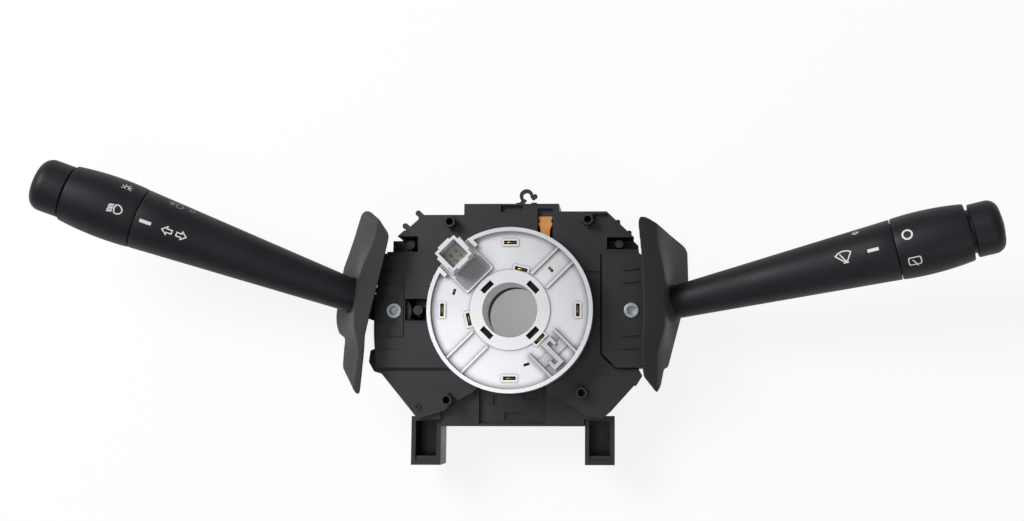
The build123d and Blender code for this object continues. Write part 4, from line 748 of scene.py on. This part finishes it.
def grown(name, tree, values, material, body, replaced, place=None, start=None):
    # runs a tree with its inputs set by identifier and keeps the plain mesh
    host = linkObject(name + "Host", start or bpy.data.meshes.new(name + "Host"))
    modifier = host.modifiers.new("rule", "NODES")
    modifier.node_group = tree
    keys = {item.name: item.identifier for item in tree.interface.items_tree if item.in_out == "INPUT"}
    for label, value in values.items():
        modifier[keys[label]] = value
    graph = bpy.context.evaluated_depsgraph_get()
    mesh = bpy.data.meshes.new_from_object(host.evaluated_get(graph))
    bpy.data.objects.remove(host)
    mesh.name = name
    if place is not None:
        mesh.transform(place)
    work = bmesh.new()
    work.from_mesh(mesh)
    bmesh.ops.remove_doubles(work, verts=work.verts, dist=0.001 * mm)
    bmesh.ops.recalc_face_normals(work, faces=work.faces)
    work.to_mesh(mesh)
    work.free()
    smoothByAngle(mesh, 35)
    return newPiece(name, mesh, material, body, replaced)


def coilTree(material):
    tree, given = newTree("coilSpring", {"Coil Radius": "NodeSocketFloat", "Wire Radius": "NodeSocketFloat",
                                         "Length": "NodeSocketFloat", "Turns": "NodeSocketFloat"})
    line = addNode(tree, "GeometryNodeCurveSpiral", {"Resolution": 28}, {
        "Rotations": given["Turns"], "Start Radius": given["Coil Radius"], "End Radius": given["Coil Radius"],
        "Height": given["Length"]})
    wire = addNode(tree, "GeometryNodeCurvePrimitiveCircle", {"Resolution": 10}, {"Radius": given["Wire Radius"]})
    solid = addNode(tree, "GeometryNodeCurveToMesh", {"Fill Caps": True},
                    {"Curve": line.outputs[0], "Profile Curve": wire.outputs[0]})
    closeTree(tree, solid.outputs[0], material)
    return tree


def alongAxis(origin, direction):
    # places something made along Z on another axis
    turn = Vector((0, 0, 1)).rotation_difference(Vector(direction)).to_matrix().to_4x4()
    return Matrix.Translation(Vector(origin)) @ turn


coil = coilTree(finish["rivet_steel"])
buttonCoil = {"Coil Radius": 3.7, "Wire Radius": 0.35, "Length": 15.9, "Turns": 9.0, "start": 120.65}
# the detent coils are drawn at their pressed length, clear of the plunger all through its travel
detentCoil = {"Coil Radius": 1.15, "Wire Radius": 0.17, "Length": 1.38, "Turns": 3.5, "start": 5.2,
              "turn": 194.0, "level": 28.5}


def windCoil(name, form, node, place):
    sizes = {k: form[k] * mm for k in ("Coil Radius", "Wire Radius", "Length")}
    grown(name, coil, {**sizes, "Turns": form["Turns"]}, finish["rivet_steel"], bodyOf[node], (node,), place)


buttonOrigin, buttonAlong = stalkAxes("right")[:2]
windCoil("buttonCoil", buttonCoil, "button_spring",
         alongAxis(buttonOrigin + buttonAlong * buttonCoil["start"] * mm, buttonAlong))
for hand, s in stalks.items():
    turn = radians(s["azimuth"] + s["side"] * detentCoil["turn"])
    way = Vector((cos(turn), sin(turn), 0))
    base = Vector((s["side"] * stalkForm["pivotOut"], stalkForm["pivotUp"], detentCoil["level"])) * mm
    windCoil(hand + "DetentCoil", detentCoil, hand + "_detent_spring",
             alongAxis(base + way * detentCoil["start"] * mm, way))


def ribbonTree(material):
    tree, given = newTree("woundRibbon", {"Inner Radius": "NodeSocketFloat", "Outer Radius": "NodeSocketFloat",
                                          "Width": "NodeSocketFloat", "Thickness": "NodeSocketFloat",
                                          "Turns": "NodeSocketFloat"})
    line = addNode(tree, "GeometryNodeCurveSpiral", {"Resolution": 64, "Height": 0.0}, {
        "Rotations": given["Turns"], "Start Radius": given["Inner Radius"], "End Radius": given["Outer Radius"]})
    strip = addNode(tree, "GeometryNodeCurvePrimitiveQuadrilateral", {},
                    {"Width": given["Thickness"], "Height": given["Width"]})
    solid = addNode(tree, "GeometryNodeCurveToMesh", {"Fill Caps": True},
                    {"Curve": line.outputs[0], "Profile Curve": strip.outputs[0]})
    closeTree(tree, solid.outputs[0], material)
    return tree


ribbonForm = {"Inner Radius": 18.4, "Outer Radius": 32.6, "Width": 6.8, "Thickness": 0.25}
ribbonTurns = 8.0
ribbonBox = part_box("ribbon_cable")
grown("woundRibbon", ribbonTree(finish["ribbon_copper"]),
      {**{k: size * mm for k, size in ribbonForm.items()}, "Turns": ribbonTurns}, finish["ribbon_copper"], "body",
      ("ribbon_cable",), Matrix.Translation((0, 0, (ribbonBox[0][2] + ribbonBox[1][2]) / 2)))


def clipTree(material):
    # a bent brass strip stood in each window of the reel
    tree, given = newTree("reelClips", {"Length": "NodeSocketFloat", "Strip": "NodeSocketFloat",
                                        "Rise": "NodeSocketFloat"})
    half = reckon(tree, "MULTIPLY", given["Length"], 0.5)
    line = addNode(tree, "GeometryNodeCurveArc", {"mode": "RADIUS", "Resolution": 10, "Start Angle": radians(20),
                                                  "Sweep Angle": radians(140)}, {"Radius": half})
    flat = addNode(tree, "GeometryNodeTransform", {"Rotation": (pi / 2, 0, 0), "Scale": (1.0, 1.0, 0.45)},
                   {"Geometry": line.outputs[0]})
    strip = addNode(tree, "GeometryNodeCurvePrimitiveQuadrilateral", {}, {"Width": given["Strip"],
                                                                         "Height": given["Rise"]})
    clip = addNode(tree, "GeometryNodeCurveToMesh", {"Fill Caps": True},
                   {"Curve": flat.outputs[0], "Profile Curve": strip.outputs[0]})
    turn = addNode(tree, "GeometryNodeInputNamedAttribute", {"data_type": "FLOAT_VECTOR", "Name": "turn"})
    size = addNode(tree, "GeometryNodeInputNamedAttribute", {"data_type": "FLOAT_VECTOR", "Name": "size"})
    many = addNode(tree, "GeometryNodeInstanceOnPoints", {}, {
        "Points": given["Geometry"], "Instance": clip.outputs[0], "Rotation": turn.outputs[0],
        "Scale": size.outputs[0]})
    closeTree(tree, many.outputs[0], material)
    return tree


# (radius, angle, size) of the clips, in mm and degrees on the reel
clipSpots = [(29.5, 0, 1), (29.5, 90, 1), (29.5, 180, 1), (29.5, 270, 1), (18.4, 75, 1), (18.3, 193, 1),
             (18.0, -44, 1), (25.0, 45, 0.5), (25.6, 162, 0.5)]
clipForm = {"Length": 5.2, "Strip": 0.3, "Rise": 0.9}
clipLevel = 47.5
spots = bpy.data.meshes.new("clipSpots")
spots.from_pydata([(r * mm * cos(radians(a)), r * mm * sin(radians(a)), clipLevel * mm) for r, a, k in clipSpots],
                  [], [])
turns = spots.attributes.new("turn", "FLOAT_VECTOR", "POINT")
sizes = spots.attributes.new("size", "FLOAT_VECTOR", "POINT")
for i, (r, a, k) in enumerate(clipSpots):
    turns.data[i].vector = (0, 0, radians(a + 90))
    sizes.data[i].vector = (k, k, 1)
grown("reelClips", clipTree(finish["tinned_brass"]), {k: size * mm for k, size in clipForm.items()},
      finish["tinned_brass"], "reel", ("reel_contacts",), start=spots)


def pinTree(material):
    # a field of square pins with tapered ends
    tree, given = newTree("pinField", {"Ways": "NodeSocketInt", "Pitch": "NodeSocketFloat", "Rows": "NodeSocketInt",
                                       "Row Pitch": "NodeSocketFloat", "Side": "NodeSocketFloat",
                                       "Length": "NodeSocketFloat"})
    wide = reckon(tree, "MULTIPLY", reckon(tree, "SUBTRACT", given["Ways"], 1.0), given["Pitch"])
    high = reckon(tree, "MULTIPLY", reckon(tree, "SUBTRACT", given["Rows"], 1.0), given["Row Pitch"])
    field = addNode(tree, "GeometryNodeMeshGrid", {}, {"Size X": wide, "Size Y": high, "Vertices X": given["Ways"],
                                                       "Vertices Y": given["Rows"]})
    corner, fine = (reckon(tree, "MULTIPLY", given["Side"], share) for share in (0.7071, 0.3))
    neck, end = (reckon(tree, "MULTIPLY", given["Length"], share) for share in (0.85, 0.15))
    shank = addNode(tree, "GeometryNodeMeshCone", {"Vertices": 4},
                    {"Radius Top": corner, "Radius Bottom": corner, "Depth": neck})
    point = addNode(tree, "GeometryNodeMeshCone", {"Vertices": 4},
                    {"Radius Top": fine, "Radius Bottom": corner, "Depth": end})
    lift = addNode(tree, "ShaderNodeCombineXYZ", {}, {"Z": neck})
    raised = addNode(tree, "GeometryNodeTransform", {},
                     {"Geometry": point.outputs["Mesh"], "Translation": lift.outputs[0]})
    pin = addNode(tree, "GeometryNodeJoinGeometry")
    tree.links.new(raised.outputs[0], pin.inputs[0])
    tree.links.new(shank.outputs["Mesh"], pin.inputs[0])
    square = addNode(tree, "GeometryNodeTransform", {"Rotation": (0, 0, pi / 4)}, {"Geometry": pin.outputs[0]})
    many = addNode(tree, "GeometryNodeInstanceOnPoints", {}, {"Points": field.outputs["Mesh"],
                                                              "Instance": square.outputs[0]})
    closeTree(tree, many.outputs[0], material)
    return tree


pinForm = {"side": 0.65, "rowPitch": 4.0, "airbagPitch": 3.0, "airbagTurn": 45, "edge": 0.7}
pins = pinTree(finish["tinned_brass"])
for name, ways in (("left", 6), ("reel", 3), ("right", 6)):
    low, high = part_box(name + "_connector_pins")
    middle = [(a + b) / 2 for a, b in zip(low, high)]
    pitch = (high[0] - low[0] - pinForm["edge"] * mm) / (ways - 1)
    place = Matrix.Translation((middle[0], high[1], middle[2])) @ Matrix.Rotation(pi / 2, 4, "X")
    grown(name + "SocketPins", pins, {"Ways": ways, "Pitch": pitch, "Rows": 2, "Row Pitch": pinForm["rowPitch"] * mm,
                                      "Side": pinForm["side"] * mm, "Length": high[1] - low[1]},
          finish["tinned_brass"], "body", (name + "_connector_pins",), place)
low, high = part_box("airbag_pins")
middle = [(a + b) / 2 for a, b in zip(low, high)]
pitch = pinForm["airbagPitch"] * mm
grown("airbagSocketPins", pins, {"Ways": 2, "Pitch": pitch, "Rows": 2, "Row Pitch": pitch,
                                 "Side": pinForm["side"] * mm, "Length": high[2] - low[2]},
      finish["tinned_brass"], "reel", ("airbag_pins",),
      Matrix.Translation((middle[0], middle[1], low[2])) @ Matrix.Rotation(radians(pinForm["airbagTurn"]), 4, "Z"))
print("coils, ribbon, clips and pins grown")


def makeStage():
    bench = {"half": 2.5, "level": -0.0004, "colour": "#f6efe9", "lift": 0.85, "foot": 0.3,
             "shade": 0.014}
    mesh = bpy.data.meshes.new("benchTop")
    h, z = bench["half"], bench["level"]
    mesh.from_pydata([(-h, -h, z), (h, -h, z), (h, h, z), (-h, h, z)], [], [(0, 1, 2, 3)])
    floor = linkObject("benchTop", mesh)
    material, tree, place = blankMaterial("whiteBench")
    paths = addNode(tree, "ShaderNodeLightPath")
    seen = reckon(tree, "MAXIMUM", paths.outputs["Is Camera Ray"], paths.outputs["Is Glossy Ray"])
    # painted shade: near the axis, under the shaft bore, the bench gets less white lift, so it shows darker there
    away = addNode(tree, "ShaderNodeVectorMath", {"operation": "LENGTH"}, {0: place})
    lift = mapped(tree, away.outputs["Value"], bench["shade"], 3 * bench["shade"], bench["foot"], bench["lift"])
    share = reckon(tree, "MULTIPLY", seen, lift)
    paint = addNode(tree, "ShaderNodeBsdfDiffuse", {"Color": linearColour(bench["colour"])})
    glow = addNode(tree, "ShaderNodeEmission", {"Color": (1, 1, 1, 1), "Strength": 1.0})
    mixed = addNode(tree, "ShaderNodeMixShader", {}, {0: share, 1: paint.outputs[0], 2: glow.outputs[0]})
    addNode(tree, "ShaderNodeOutputMaterial", {}, {"Surface": mixed.outputs[0]})
    mesh.materials.append(material)


def addLamp(name, look):
    # every lamp looks at the middle of the shaft's foot
    data = bpy.data.lights.new(name, "AREA")
    data.shape, data.energy = "RECTANGLE", look["watts"]
    data.size, data.size_y = look["size"]
    lamp = linkObject(name, data)
    lamp.location = look["place"]
    lamp.rotation_euler = (-Vector(look["place"])).to_track_quat("-Z", "Y").to_euler()


lamps = {
    "windowLight": {"place": (-0.8, 0.55, 1.1), "size": (0.7, 0.6), "watts": 18.0},
    "roomLamp": {"place": (0.5, -0.75, 0.9), "size": (0.5, 0.5), "watts": 2.0},
    "ceilingLamp": {"place": (-0.18, -0.16, 1.25), "size": (0.5, 0.36), "watts": 1.2},
}
roomStrength = {"lights": 0.3, "seen": 1.0}


def makeLight():
    world = bpy.data.worlds.new("roomLight")
    bpy.context.scene.world = world
    world.use_nodes = True
    tree = world.node_tree
    tree.nodes.clear()
    paths = addNode(tree, "ShaderNodeLightPath")
    room = addNode(tree, "ShaderNodeBackground", {"Color": (1, 1, 1, 1), "Strength": roomStrength["lights"]})
    wall = addNode(tree, "ShaderNodeBackground", {"Color": (1, 1, 1, 1), "Strength": roomStrength["seen"]})
    mixed = addNode(tree, "ShaderNodeMixShader", {}, {0: paths.outputs["Is Camera Ray"], 1: room.outputs[0],
                                                      2: wall.outputs[0]})
    addNode(tree, "ShaderNodeOutputWorld", {}, {"Surface": mixed.outputs[0]})
    for name, look in lamps.items():
        addLamp(name, look)


makeStage()
makeLight()
print("bench and light placed")
